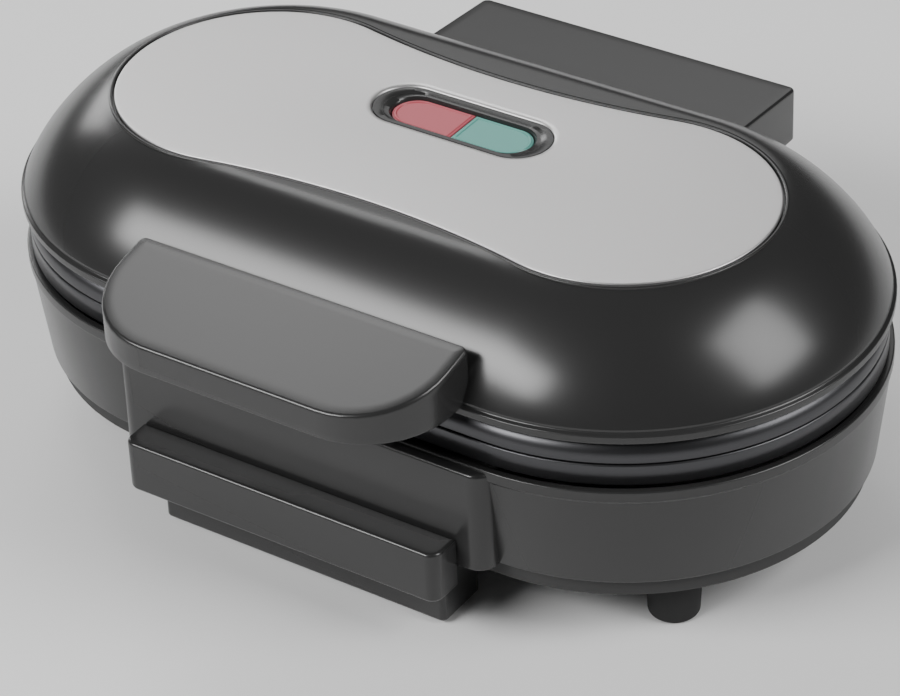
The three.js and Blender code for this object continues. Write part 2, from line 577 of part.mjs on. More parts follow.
function upperHandle() {
  let body = cut(handleBody(0), handleBody(WALL));
  for (const side of [-1, 1]) {
    const at = [side * HANDLE_SCREW_X, HANDLE_SCREW_Z];
    const boss = rod('y', POST_RADIUS, -REACH + HANDLE_CORNER / 2, -HANDLE_BACK, at);
    body = join(body, boss.intersect(handleBody(0)));
    body = cut(body, rod('y', SCREW_HOLE_RADIUS, -HANDLE_SCREW_TIP - CLEARANCE, -CROWN_RADIUS, at));
  }
  return cut(body, domeOuter(CLEARANCE));
}

// ---------------------------------------------------------------- cooking plates
// One ring mould: half of a flattened ring, grown by a skin. direction is +1 for the upper plate, whose
// moulds rise from its face, and -1 for the lower plate. A mould with no skin cuts through the face.
function mould(x, y, face, direction, skin) {
  const steps = 4;
  const points = [];
  for (let i = 0; i <= steps; i += 1) {
    const angle = (i / steps) * Math.PI;
    const r = MOULD_RING - (MOULD_HALF_WIDTH + skin) * Math.cos(angle);
    points.push([r, face + direction * (DONUT_DEPTH + skin) * Math.sin(angle)]);
  }
  if (skin === 0) {
    points.push([points[steps][0], face - direction], [points[0][0], face - direction]);
  }
  return turned(points, x, y, 16);
}

function cookingPlate(face, direction) {
  const web = face + direction * PLATE_THICKNESS;
  const edge = face + direction * PLATE_RIM_HEIGHT;
  const inner = PLATE_RADIUS - PLATE_THICKNESS;
  let body = racetrackBody([
    [0, face], [PLATE_RADIUS, face], [PLATE_RADIUS, edge], [inner, edge], [inner, web], [0, web],
  ]);
  for (const [x, y] of MOULD_PLACES) {
    body = join(body, mould(x, y, face, direction, MOULD_SKIN));
  }
  for (const [x, y] of MOULD_PLACES) {
    body = cut(body, mould(x, y, face, direction, 0));
  }
  const sink = face + direction * (SCREW_HEAD_HEIGHT + 2 * CLEARANCE);
  for (const x of POST_PLACES) {
    body = cut(body, rod('z', SCREW_SEAT_RADIUS, face - direction, sink, [x, 0]));
    body = cut(body, rod('z', SCREW_HOLE_RADIUS, face, web + direction, [x, 0]));
  }
  return body;
}

// A loop over the middle line of both rows of moulds, open at the rear.
function heatingElement(face, direction) {
  const z = face + direction * ELEMENT_OFFSET;
  const arcSteps = 10;
  const right = [[TERMINAL_GAP / 2, MOULD_ROW, z], [END_CENTRE / 2, MOULD_ROW, z]];
  for (let i = 0; i <= arcSteps; i += 1) {
    const angle = Math.PI / 2 - (i / arcSteps) * Math.PI;
    right.push([END_CENTRE + MOULD_ROW * Math.cos(angle), MOULD_ROW * Math.sin(angle), z]);
  }
  const left = right.map(([x, y, height]) => [-x, y, height]).reverse();
  return tube([...right, [0, -MOULD_ROW, z], ...left], ELEMENT_RADIUS, 40, 6);
}

function heatShield(face, direction) {
  const near = face + direction * SHIELD_OFFSET;
  const far = near + direction * SHIELD_THICKNESS;
  const lip = near - direction * ELEMENT_RADIUS;
  const inner = SHIELD_RADIUS - SHIELD_THICKNESS;
  let body = racetrackBody([
    [0, far], [SHIELD_RADIUS, far], [SHIELD_RADIUS, lip], [inner, lip], [inner, near], [0, near],
  ]);
  for (const x of POST_PLACES) {
    body = cut(body, rod('z', POST_RADIUS + CLEARANCE, near - direction, far + direction, [x, 0]));
  }
  return body;
}

// ---------------------------------------------------------------- base
// The rear block: hollow, open below, its top hollowed out where the lid's block swings past.
function rearBlock(inset) {
  const half = HANDLE_HALF_WIDTH - inset;
  const top = HINGE_Z - KNUCKLE_RADIUS - SWING_CLEARANCE - inset;
  const bottom = FLOOR_GAP - inset;
  const front = BODY_RADIUS - BLOCK_CORNER;
  const step = HINGE_Y - 1 - inset;
  const outline = plate(-half, half, front, REACH - inset, 0, Math.max(BLOCK_CORNER - inset, 0));
  const sweep = rod('x', SWEEP_RADIUS + inset, -REACH, REACH, [HINGE_Y, HINGE_Z], 40);
  const clear = sweep.intersect(box(-REACH, REACH, step, REACH + 1, bottom, LID_TOP));
  const coverEdge = BODY_RADIUS - BAND_SETBACK + CLEARANCE + inset;
  const ledge = BASE_BOTTOM + inset;
  const under = racetrackBody([[0, 0], [coverEdge, 0], [coverEdge, ledge], [0, ledge]]);
  return cut(slab(outline, bottom, top, 8), clear, under);
}

function baseKnuckle(side) {
  const [x0, x1] = ordered(side * KNUCKLE_X, side * (KNUCKLE_X + KNUCKLE_WIDTH));
  const foot = HINGE_Z - KNUCKLE_RADIUS - SWING_CLEARANCE - WALL / 2;
  const reach = KNUCKLE_RADIUS * Math.SQRT1_2;
  const outline = [
    [HINGE_Y - KNUCKLE_FOOT, foot], [HINGE_Y - 1, foot], [HINGE_Y - 1, HINGE_Z],
    [HINGE_Y - reach, HINGE_Z + reach],
  ];
  return join(rod('x', KNUCKLE_RADIUS, x0, x1, [HINGE_Y, HINGE_Z], 24), profileAlongX(outline, x0, x1));
}

// The flat pad behind the lower handle, grown inwards by an inset.
function basePad(inset) {
  const half = PAD_HALF_WIDTH - inset;
  const outline = plate(-half, half, -PAD_FRONT + inset, -CROWN_RADIUS, PAD_CORNER - inset, 0);
  return slab(outline, BASE_BOTTOM + inset, BASE_RIM - 1 - inset, 4);
}

function lowerHousing() {
  const lip = BASE_RIM - BASE_RIM_DROP;
  const outside = racetrackBody([
    [0, BASE_BOTTOM], [BASE_FOOT_RADIUS, BASE_BOTTOM], [BODY_RADIUS - BASE_RIM_STEP, lip],
    [BODY_RADIUS, lip + 1], [BODY_RADIUS, BASE_RIM], [0, BASE_RIM],
  ]);
  const floor = BASE_BOTTOM + WALL;
  const foot = BASE_FOOT_RADIUS - WALL;
  const rim = BODY_RADIUS - WALL - BASE_RIM_STEP;
  const inside = racetrackBody([
    [0, floor], [foot, floor], [rim, lip], [rim, BASE_RIM + 1], [0, BASE_RIM + 1],
  ]);
  const mouth = foot - FLANGE_WIDTH;
  const floorHole = racetrackBody([
    [0, BASE_BOTTOM - 1], [mouth, BASE_BOTTOM - 1], [mouth, floor + 1], [0, floor + 1],
  ]);
  let body = join(outside, basePad(0), rearBlock(0));
  body = cut(body, inside, floorHole, basePad(WALL), cut(rearBlock(WALL), outside));
  const postTop = BASE_BOTTOM + COVER_POST_HEIGHT;
  for (const [x, y] of COVER_SCREW_PLACES) {
    body = join(body, rod('z', POST_RADIUS, BASE_BOTTOM, postTop, [x, y]));
    body = cut(body, rod('z', SCREW_HOLE_RADIUS, COVER_BOTTOM, postTop - WALL / 2, [x, y]));
  }
  for (const side of [-1, 1]) {
    const at = [side * HANDLE_SCREW_X, LOWER_SCREW_Z];
    body = join(body, baseKnuckle(side));
    body = cut(body, rod('y', SCREW_HOLE_RADIUS, -REACH, -CROWN_RADIUS, at));
  }
  const hinge = HANDLE_HALF_WIDTH - WALL;
  body = cut(body, rod('x', PIN_RADIUS + CLEARANCE, -hinge, hinge, [HINGE_Y, HINGE_Z]));
  const inlet = [INLET_X, INLET_HEIGHT];
  const flange = INLET_RADIUS + INLET_FLANGE;
  const sunk = REACH - WALL / 2;
  body = join(body, rod('y', flange + WALL, REACH - 2 * WALL, sunk, inlet, 24));
  body = cut(body, rod('y', flange + CLEARANCE, sunk, REACH + 1, inlet, 24));
  body = cut(body, rod('y', INLET_RADIUS + CLEARANCE, REACH - 3 * WALL, REACH + 1, inlet, 24));
  return cut(body, rod('y', INLET_RADIUS, CROWN_RADIUS, BODY_RADIUS + 1, [INLET_X, LEAD_HEIGHT]));
}

function lowerHandle() {
  const half = LOWER_HANDLE_HALF_WIDTH;
  const back = -PAD_FRONT - CLEARANCE;
  const outline = plate(-half, half, -LOWER_HANDLE_FRONT, back, LOWER_HANDLE_CORNER, 0);
  const grip = slab(outline, LOWER_HANDLE_BOTTOM, LOWER_HANDLE_TOP, 5);
  const [x0, x1] = [-BAR_HALF_WIDTH, BAR_HALF_WIDTH];
  const barOutline = plate(x0, x1, -BAR_FRONT, -BAR_FRONT + BAR_DEPTH, BAR_CORNER, 0);
  const bar = slab(barOutline, FLOOR_GAP, COVER_BOTTOM - 2 * CLEARANCE, 4);
  const under = LOWER_HANDLE_BOTTOM - WALL;
  const bracket = box(x0, x1, -BAR_FRONT - WALL, back, under, LOWER_HANDLE_BOTTOM + 1);
  const coreHalf = half - WALL;
  const [low, high] = [LOWER_HANDLE_BOTTOM + WALL, LOWER_HANDLE_TOP - WALL];
  let core = box(-coreHalf, coreHalf, -LOWER_HANDLE_FRONT + WALL, back + 1, low, high);
  for (const side of [-1, 1]) {
    const at = [side * HANDLE_SCREW_X, LOWER_SCREW_Z];
    core = cut(core, rod('y', POST_RADIUS, -LOWER_HANDLE_FRONT, back, at));
  }
  let body = join(cut(grip, core), bar, bracket);
  for (const side of [-1, 1]) {
    const at = [side * HANDLE_SCREW_X, LOWER_SCREW_Z];
    body = cut(body, rod('y', SCREW_HOLE_RADIUS, -LOWER_SCREW_TIP - CLEARANCE, back + 1, at));
  }
  return body;
}

function bottomCover() {
  const radius = BODY_RADIUS - BAND_SETBACK;
  const inner = radius - WALL;
  let body = racetrackBody([
    [0, COVER_BOTTOM], [radius, COVER_BOTTOM], [radius, COVER_TOP], [inner, COVER_TOP],
    [inner, COVER_FLOOR], [0, COVER_FLOOR],
  ]);
  const plateBack = LOWER_PLATE_TOP - PLATE_THICKNESS - CLEARANCE;
  const shoulder = LOWER_PLATE_TOP - SHOULDER_OFFSET;
  for (const x of POST_PLACES) {
    body = join(body, rod('z', POST_SHOULDER_RADIUS, COVER_BOTTOM, shoulder, [x, 0]));
    body = join(body, rod('z', POST_RADIUS, COVER_BOTTOM, plateBack, [x, 0]));
    body = cut(body, rod('z', SCREW_HOLE_RADIUS, plateBack - SCREW_HOLE_DEPTH, plateBack + 1, [x, 0]));
  }
  const sink = COVER_BOTTOM + SCREW_HEAD_HEIGHT + 2 * CLEARANCE;
  for (const [x, y] of COVER_SCREW_PLACES) {
    body = join(body, rod('z', POST_RADIUS, COVER_BOTTOM, COVER_TOP, [x, y]));
    body = cut(body, rod('z', SCREW_SEAT_RADIUS, COVER_BOTTOM - 1, sink, [x, y]));
    body = cut(body, rod('z', SCREW_HOLE_RADIUS, COVER_BOTTOM, COVER_TOP + 1, [x, y]));
  }
  for (const [x, y] of FOOT_PLACES) {
    body = cut(body, rod('z', FOOT_STEM_RADIUS + CLEARANCE, COVER_BOTTOM - 1, COVER_FLOOR + 1, [x, y]));
  }
  const slot = racetrack(VENT_WIDTH / 2, (VENT_LENGTH - VENT_WIDTH) / 2);
  for (const side of [-1, 1]) {
    for (let i = 0; i < VENT_COUNT; i += 1) {
      const y = (i - (VENT_COUNT - 1) / 2) * VENT_PITCH + side * (MOULD_ROW - VENT_PITCH / 2);
      body = cut(body, slab(slot, COVER_BOTTOM - 1, COVER_FLOOR + 1, 2).translate([0, y, 0]));
    }
  }
  return body;
}

function foot(x, y) {
  const barb = COVER_FLOOR + CLEARANCE;
  return turned([
    [0, 0], [FOOT_RADIUS - FOOT_EDGE, 0], [FOOT_RADIUS, FOOT_EDGE], [FOOT_RADIUS, FOOT_HEIGHT],
    [FOOT_STEM_RADIUS, FOOT_HEIGHT], [FOOT_STEM_RADIUS, barb], [FOOT_STEM_RADIUS + FOOT_BARB, barb],
    [FOOT_STEM_RADIUS - FOOT_BARB / 2, barb + FOOT_BARB_HEIGHT], [0, barb + FOOT_BARB_HEIGHT],
  ], x, y, 12);
}

function hingePin(side) {
  const start = side * (KNUCKLE_X - KNUCKLE_GAP - KNUCKLE_WIDTH - 1);
  const head = side * (KNUCKLE_X + KNUCKLE_WIDTH + CLEARANCE);
  const end = head + side * PIN_HEAD_THICKNESS;
  const axis = [HINGE_Y, HINGE_Z];
  return join(rod('x', PIN_RADIUS, start, end, axis), rod('x', PIN_HEAD_RADIUS, head, end, axis));
}

function mainsInletGland() {
  const inlet = [INLET_X, INLET_HEIGHT];
  const body = rod('y', INLET_RADIUS, REACH - 4 * WALL, REACH, inlet, 24);
  const flange = rod('y', INLET_RADIUS + INLET_FLANGE, REACH - WALL / 2 + CLEARANCE, REACH, inlet, 24);
  return cut(join(body, flange), rod('y', INLET_BORE_RADIUS, REACH - 5 * WALL, REACH + 1, inlet, 20));
}

// Centre of a wire hole in the terminal block, as [x, z].
function terminalHole(i) {
  const middle = TERMINAL_X + TERMINAL_LENGTH / 2;
  return [middle + (i - 1) * TERMINAL_PITCH, TERMINAL_BOTTOM + TERMINAL_HEIGHT / 2];
}

function terminalBlock() {
  const back = TERMINAL_Y + TERMINAL_DEPTH;
  const top = TERMINAL_BOTTOM + TERMINAL_HEIGHT;
  let body = box(TERMINAL_X, TERMINAL_X + TERMINAL_LENGTH, TERMINAL_Y, back, TERMINAL_BOTTOM, top);
  for (const i of [0, 1, 2]) {
    const [x, z] = terminalHole(i);
    body = cut(body, rod('y', WIRE_HOLE_RADIUS, TERMINAL_Y - 1, back + 1, [x, z], 12));
    body = cut(body, rod('z', CLAMP_HOLE_RADIUS, z, top + 1, [x, TERMINAL_Y + TERMINAL_DEPTH / 2], 12));
  }
  return body;
}

// An insulated lead from the gland's bore, through the wall's hole, to the terminal block.
function mainsLead(i) {
  const [x, z] = terminalHole(i);
  const start = INLET_X + (i === 0 ? -1 : 1) * (LEAD_RADIUS + CLEARANCE);
  const back = TERMINAL_Y + TERMINAL_DEPTH;
  const points = [
    [start, REACH - 4 * WALL - 1, INLET_HEIGHT],
    [start, REACH - 14, INLET_HEIGHT + 2],
    [start, BODY_RADIUS + 4, LEAD_HEIGHT],
    [start, BODY_RADIUS - 8, LEAD_HEIGHT],
    [(start + x) / 2, BODY_RADIUS - 18, LEAD_HEIGHT - 2],
    [x, back + 8, z],
    [x, back - 4, z],
  ];
  return tube(points, LEAD_RADIUS, 22, 6);
}

// Bimetal thermostat, against the underside of the lower heat shield.
function thermostat() {
  const x = -MOULD_COLUMN / 4;
  const low = SHIELD_UNDERSIDE - THERMOSTAT_HEIGHT;
  const cap = SHIELD_UNDERSIDE - THERMOSTAT_CAP;
  const body = turned([
    [0, low], [THERMOSTAT_BODY_RADIUS, low], [THERMOSTAT_BODY_RADIUS, cap], [THERMOSTAT_RADIUS, cap],
    [THERMOSTAT_RADIUS, SHIELD_UNDERSIDE], [0, SHIELD_UNDERSIDE],
  ], x, 0, 20);
  const blades = [x - BLADE_REACH, x + BLADE_REACH, -BLADE_HALF_WIDTH, BLADE_HALF_WIDTH];
  return join(body, box(...blades, low + BLADE_THICKNESS, low + 2 * BLADE_THICKNESS));
}

// Thermal fuse, also against the shield, with a wire out of each end.
function thermalFuse() {
  const at = [MOULD_COLUMN / 4, SHIELD_UNDERSIDE - FUSE_RADIUS];
  const body = rod('y', FUSE_RADIUS, -FUSE_HALF_LENGTH, FUSE_HALF_LENGTH, at, 12);
  return join(body, rod('y', FUSE_WIRE_RADIUS, -2 * FUSE_HALF_LENGTH, 2 * FUSE_HALF_LENGTH, at));
}

// ---------------------------------------------------------------- assembly
piece('upper_housing', upperHousing(), GLOSS_BLACK);
piece('steel_top_plate', steelTopPlate(), STEEL);
piece('lamp_bezel', lampBezel(), GLOSS_BLACK);
piece('red_lamp_lens', lampLens(-1), RED);
piece('green_lamp_lens', lampLens(1), GREEN);
piece('lamp_holder', lampHolder(), SATIN_BLACK);
piece('red_neon_lamp', neonLamp(-1), LAMP);
piece('green_neon_lamp', neonLamp(1), LAMP);
piece('upper_handle', upperHandle(), GLOSS_BLACK);
piece('upper_cooking_plate', cookingPlate(UPPER_PLATE_BOTTOM, 1), COATED);
piece('upper_heating_element', heatingElement(UPPER_PLATE_BOTTOM, 1), SHEATH);
piece('upper_heat_shield', heatShield(UPPER_PLATE_BOTTOM, 1), TINPLATE);

piece('lower_housing', lowerHousing(), GLOSS_BLACK);
piece('lower_handle', lowerHandle(), GLOSS_BLACK);
piece('lower_cooking_plate', cookingPlate(LOWER_PLATE_TOP, -1), COATED);
piece('lower_heating_element', heatingElement(LOWER_PLATE_TOP, -1), SHEATH);
piece('lower_heat_shield', heatShield(LOWER_PLATE_TOP, -1), TINPLATE);
piece('bottom_cover', bottomCover(), SATIN_BLACK);
piece('thermostat', thermostat(), CERAMIC);
piece('thermal_fuse', thermalFuse(), CERAMIC);
piece('terminal_block', terminalBlock(), CERAMIC);
piece('mains_inlet_gland', mainsInletGland(), RUBBER);
piece('live_lead', mainsLead(0), BROWN_LEAD);
piece('neutral_lead', mainsLead(2), BLUE_LEAD);

for (const [x, y] of FOOT_PLACES) {
  piece(`foot_${y < 0 ? 'front' : 'rear'}_${x < 0 ? 'left' : 'right'}`, foot(x, y), RUBBER);
}

const upperScrewY = -HANDLE_SCREW_HEAD + SCREW_HEAD_HEIGHT;
const holderFace = HOLDER_TOP - HOLDER_DEPTH - CLEARANCE - SCREW_HEAD_HEIGHT;
for (const [side, word] of [[-1, 'left'], [1, 'right']]) {
  const x = side * HANDLE_SCREW_X;
  const upperScrew = screwForward(x, upperScrewY, HANDLE_SCREW_Z, HANDLE_SCREW_LENGTH);
  const lowerScrew = screwForward(x, -LOWER_SCREW_HEAD, LOWER_SCREW_Z, LOWER_SCREW_LENGTH);
  const smallScrew = [SMALL_SCREW_LENGTH, SMALL_SCREW_RADIUS, SMALL_SCREW_HEAD];
  const holderScrew = screwZ(side * HOLDER_SCREW_X, WINDOW_Y, holderFace, 1, ...smallScrew);
  piece(`hinge_pin_${word}`, hingePin(side), BRIGHT_STEEL);
  piece(`upper_handle_screw_${word}`, upperScrew, BRIGHT_STEEL);
  piece(`lower_handle_screw_${word}`, lowerScrew, BRIGHT_STEEL);
  piece(`lamp_holder_screw_${word}`, holderScrew, BRIGHT_STEEL);
}

POST_PLACES.forEach((x, i) => {
  const upperScrew = screwZ(x, 0, UPPER_PLATE_BOTTOM + CLEARANCE, 1, POST_SCREW_LENGTH);
  const lowerScrew = screwZ(x, 0, LOWER_PLATE_TOP - CLEARANCE, -1, POST_SCREW_LENGTH);
  piece(`upper_plate_screw_${i + 1}`, upperScrew, BRIGHT_STEEL);
  piece(`lower_plate_screw_${i + 1}`, lowerScrew, BRIGHT_STEEL);
});

COVER_SCREW_PLACES.forEach(([x, y], i) => {
  const coverScrew = screwZ(x, y, COVER_BOTTOM + CLEARANCE, 1, COVER_SCREW_LENGTH);
  piece(`cover_screw_${i + 1}`, coverScrew, BRIGHT_STEEL);
});

export default part;
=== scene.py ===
"""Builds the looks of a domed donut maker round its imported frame."""

import json
import math
from functools import partial

import bmesh
import bpy
import numpy as np
from bpy.props import FloatProperty, FloatVectorProperty, PointerProperty
from mathutils import Matrix, Vector


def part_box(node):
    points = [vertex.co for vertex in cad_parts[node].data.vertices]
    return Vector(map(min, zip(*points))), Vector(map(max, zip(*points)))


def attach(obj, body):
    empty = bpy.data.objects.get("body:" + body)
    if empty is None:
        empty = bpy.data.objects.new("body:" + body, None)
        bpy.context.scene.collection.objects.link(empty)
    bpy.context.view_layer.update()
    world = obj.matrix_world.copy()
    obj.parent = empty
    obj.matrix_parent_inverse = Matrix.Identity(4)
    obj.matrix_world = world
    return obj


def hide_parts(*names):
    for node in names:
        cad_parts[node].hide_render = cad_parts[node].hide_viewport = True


bl_info = {
    "name": "Donut Maker",
    "version": (1, 0, 0),
    "blender": (4, 5, 0),
    "location": "3D View > Sidebar > Donut Maker",
    "description": "Builds the shells, plates, lamps and handles of a domed donut maker",
    "category": "Add Mesh",
}

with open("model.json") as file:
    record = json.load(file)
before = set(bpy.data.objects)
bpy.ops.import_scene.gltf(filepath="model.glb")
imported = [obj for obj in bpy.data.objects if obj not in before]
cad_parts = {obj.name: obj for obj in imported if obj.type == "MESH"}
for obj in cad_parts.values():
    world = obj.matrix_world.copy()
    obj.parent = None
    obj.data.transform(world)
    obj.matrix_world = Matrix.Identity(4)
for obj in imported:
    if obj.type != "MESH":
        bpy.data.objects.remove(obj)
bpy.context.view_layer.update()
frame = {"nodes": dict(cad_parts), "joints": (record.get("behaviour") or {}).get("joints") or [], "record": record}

MM = 0.001

# ------------------------------------------------------------------ places and sizes


def corners(node):
    """Lowest and highest corner of a node of the frame."""
    low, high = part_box(node)
    return np.array(low), np.array(high)


def centre_of(node):
    """Middle of a node's box."""
    low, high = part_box(node)
    return (low + high) / 2


FEET = [f"foot_{row}_{side}" for row in ("front", "rear") for side in ("left", "right")]
COVER_SCREWS = [f"cover_screw_{i}" for i in range(1, 5)]
PLATE_SCREWS = [f"{level}_plate_screw_{i}" for level in ("upper", "lower") for i in range(1, 5)]


# The frame's round ends have 32 flat sides, so a true arc through their corners is this much larger.
TRUE_ROUND = 1 / math.cos(math.pi / 32)

PLATE_HIGH = corners("lower_cooking_plate")[1]
LID_HIGH = corners("upper_housing")[1]
HANDLE_LOW, HANDLE_HIGH = corners("upper_handle")
GRIP_LOW, GRIP_HIGH = corners("lower_handle")
COVER_LOW, COVER_HIGH = corners("bottom_cover")
BASE_LOW, BASE_HIGH = corners("lower_housing")
HINGE_Y, HINGE_Z = frame["joints"][0]["pos_m"][1:]

END = PLATE_HIGH[0] - PLATE_HIGH[1]              # centre of each round end, from the middle
RIM = (LID_HIGH[0] - END) * TRUE_ROUND           # radius of the round ends at the rims
PLATE = PLATE_HIGH[1] * TRUE_ROUND               # radius of the cooking plates' ends
COVER = COVER_HIGH[1] * TRUE_ROUND               # radius of the bottom cover's ends
REAR = BASE_HIGH[1]
TOP = corners("steel_top_plate")[1][2]
LOWER_FACE = PLATE_HIGH[2]
UPPER_FACE = corners("upper_cooking_plate")[0][2]

WALL = 2.5 * MM
FIT = 0.3 * MM                                   # gap between fitted pieces
BURY = 1.2 * MM                                  # how far a block runs into the dome
PLATE_EDGE = 6.6 * MM                            # height of a cooking plate's rim
LID_RIM = UPPER_FACE + PLATE_EDGE + 1.1 * MM
BASE_RIM = LOWER_FACE - PLATE_EDGE - 1.6 * MM
BAND_TOP = COVER_LOW[2] + 5.7 * MM               # top of the bottom cover's edge
BASE_BOTTOM = BAND_TOP + FIT

CROWN = RIM - 32.5 * MM                          # half width of the lid's flat crown
FULLNESS = 1.4                                   # exponent of the dome's curve
BASE_TAPER = 4 * MM                              # how much the base's wall narrows to its foot

LOBE_CENTRE = END + 1.5 * MM                     # steel plate: two lobes and a waist
LOBE_RADIUS = 45.3 * MM
WAIST = 38.7 * MM
STEEL_Y = -2.0 * MM                              # the steel sits a little to the front
STEEL_THICKNESS = TOP - corners("steel_top_plate")[0][2]
RECESS_FLOOR = TOP - STEEL_THICKNESS - FIT

WINDOW_Y = 10.4 * MM                             # lamp window
WINDOW_END = 19.5 * MM
WINDOW_RADIUS = 11 * MM
LENS_END = 16.5 * MM
LENS_RADIUS = 7.5 * MM
LENS_TOP = corners("red_lamp_lens")[1][2]
LENS_LOW = corners("red_lamp_lens")[0][2]

BLOCK_HALF = HANDLE_HIGH[0] + 0.8 * MM           # half width of the hinge block and the rear block
BLOCK_REAR_TOP = LID_RIM + 10.1 * MM
BLOCK_SLOPE = 2.8 / 41                           # its top falls to the rear
BLOCK_ROOT = RIM - 9 * MM                        # its front end, inside the dome
BLOCK_CORNER = 2.5 * MM
HANDLE_CORNER = 27 * MM                          # upper handle
HANDLE_BACK_CORNER = 2.5 * MM
HANDLE_SKIRT = 1.8 * MM                          # how far its skirt hangs below the frame's handle
HANDLE_FRONT_TOP = LID_RIM + 11.8 * MM
HANDLE_SLOPE = 8.2 / 38                          # its top rises to the rear
HINGE_BOTTOM = (LOWER_FACE + UPPER_FACE) / 2
PAD_HALF = 66 * MM
HANDLE_BACK = 6 * MM - RIM                       # back face of the upper handle
GRIP_BACK = GRIP_LOW[1] + 10.9 * MM              # back face of the lower handle's grip
PAD_FRONT = GRIP_BACK + FIT
GRIP_HEIGHT = 17.2 * MM
SWING_ROOM = 0.8 * MM                            # clearance round the hinge
SWEEP = math.hypot(REAR - HINGE_Y, BLOCK_REAR_TOP - HINGE_Z) + SWING_ROOM
KNUCKLE = 6.5 * MM                               # radius of the hinge knuckles
KNUCKLE_WIDTH = 6 * MM
LID_KNUCKLE = 33.4 * MM                          # inner faces of the lid's and the base's knuckles
BASE_KNUCKLE = 40 * MM
BLOCK_STEP = HINGE_Y - 1 * MM                    # rear face of the rear block's higher part
FLOOR_GAP = BASE_LOW[2]
BAR_HALF = 51 * MM                               # support bar under the lower handle
BAR_FRONT = 82.5 * MM
BAR_DEPTH = 19 * MM

DONUT = 34 * MM                                  # ring moulds
HUB = 9.5 * MM
DONUT_DEPTH = 14 * MM
MOULD_ROW = 37 * MM
MOULD_MARGIN = 3.2 * MM                          # from a corner mould to the plate's edge
MOULD_COLUMN = END + math.sqrt((PLATE - MOULD_MARGIN - DONUT) ** 2 - MOULD_ROW ** 2)

END_STEPS = 64                                   # steps round each end of an outline
SIDE_STEPS = 24                                  # steps along each side of it
CORNER_STEPS = 10

FLOOR_HALF = 3.0                                 # half width of the floor, in metres
AMBIENT = 0.06                                   # strength of the light from all round

# ------------------------------------------------------------------ sizes and colours a user may change


class DonutMakerSizes(bpy.types.PropertyGroup):
    """Edge roundings and small reliefs of the visible pieces."""

    lip_height: FloatProperty(name="Lid lip height", description="Height of the upright lip at the lid's rim",
                              default=2.6 * MM, unit="LENGTH")
    lip_width: FloatProperty(name="Lid lip width", description="How far the lip stands out from the dome",
                             default=1.3 * MM, unit="LENGTH")
    edge: FloatProperty(name="Moulded edge", description="Rounding of the handles' and blocks' edges",
                        default=1.0 * MM, unit="LENGTH")
    plate_edge: FloatProperty(name="Plate edge", description="Rounding of a cooking plate's edges",
                              default=0.6 * MM, unit="LENGTH")
    recess_lip: FloatProperty(name="Recess lip", description="Raised line round the steel plate",
                              default=0.35 * MM, unit="LENGTH")
    steel_roll: FloatProperty(name="Steel roll",
                              description="Width over which the steel rolls into the window",
                              default=2.0 * MM, unit="LENGTH")
    lens_ridge: FloatProperty(name="Lens ridge", description="Height of the raised border on a lens",
                              default=0.3 * MM, unit="LENGTH")


class DonutMakerColours(bpy.types.PropertyGroup):
    """Base colours of the finishes."""

    gloss_black: FloatVectorProperty(name="Gloss black", description="Glossy shells and handles",
                                     default=(0.0012, 0.0012, 0.0014), subtype="COLOR", min=0, max=1)
    satin_black: FloatVectorProperty(name="Satin black", description="Bottom cover and lamp holder",
                                     default=(0.008, 0.008, 0.0085), subtype="COLOR", min=0, max=1)
    steel: FloatVectorProperty(name="Brushed steel", description="Plate on top of the lid",
                               default=(0.37, 0.363, 0.365), subtype="COLOR", min=0, max=1)
    coating: FloatVectorProperty(name="Non-stick coating", description="Both cooking plates",
                                 default=(0.055, 0.055, 0.058), subtype="COLOR", min=0, max=1)
    red_lens: FloatVectorProperty(name="Red lens", description="Power lamp's lens",
                                  default=(0.13, 0.006, 0.010), subtype="COLOR", min=0, max=1)
    green_lens: FloatVectorProperty(name="Green lens", description="Ready lamp's lens",
                                    default=(0.006, 0.080, 0.070), subtype="COLOR", min=0, max=1)
    floor: FloatVectorProperty(name="Floor", description="Pale studio floor",
                               default=(0.86, 0.86, 0.86), subtype="COLOR", min=0, max=1)


# ------------------------------------------------------------------ outlines and surfaces


def racetrack(radius, end=END, middle=(0, 0)):
    """Racetrack outline, anticlockwise from the front of its right end: a half circle of the radius round
    each end centre, and the straight sides between them. The left half is the right half turned round."""
    turn = np.linspace(-np.pi / 2, np.pi / 2, END_STEPS + 1)
    along = np.linspace(1, -1, SIDE_STEPS + 1)[1:-1]
    right = np.column_stack([end + radius * np.cos(turn), radius * np.sin(turn)])
    rear = np.column_stack([end * along, np.full(len(along), radius)])
    half = np.vstack([right, rear])
    return np.vstack([half, -half]) + middle


def dog_bone(offset=0.0):
    """The steel plate's outline grown by an offset: two lobes joined by two hollow arcs that touch them. The
    hollow arc's radius follows from the lobe's centre and radius and the waist's half width."""
    lobe = LOBE_RADIUS + offset
    waist = WAIST + offset
    hollow = (LOBE_CENTRE ** 2 + waist ** 2 - lobe ** 2) / (2 * (lobe - waist))
    reach = math.atan2(waist + hollow, -LOBE_CENTRE)
    turn = np.linspace(-reach, reach, END_STEPS + 1)
    sweep = np.linspace(reach - np.pi, -reach, SIDE_STEPS + 1)[1:-1]
    right = np.column_stack([LOBE_CENTRE + lobe * np.cos(turn), lobe * np.sin(turn)])
    rear = np.column_stack([hollow * np.cos(sweep), waist + hollow + hollow * np.sin(sweep)])
    half = np.vstack([right, rear])
    return np.vstack([half, -half]) + (0, STEEL_Y)


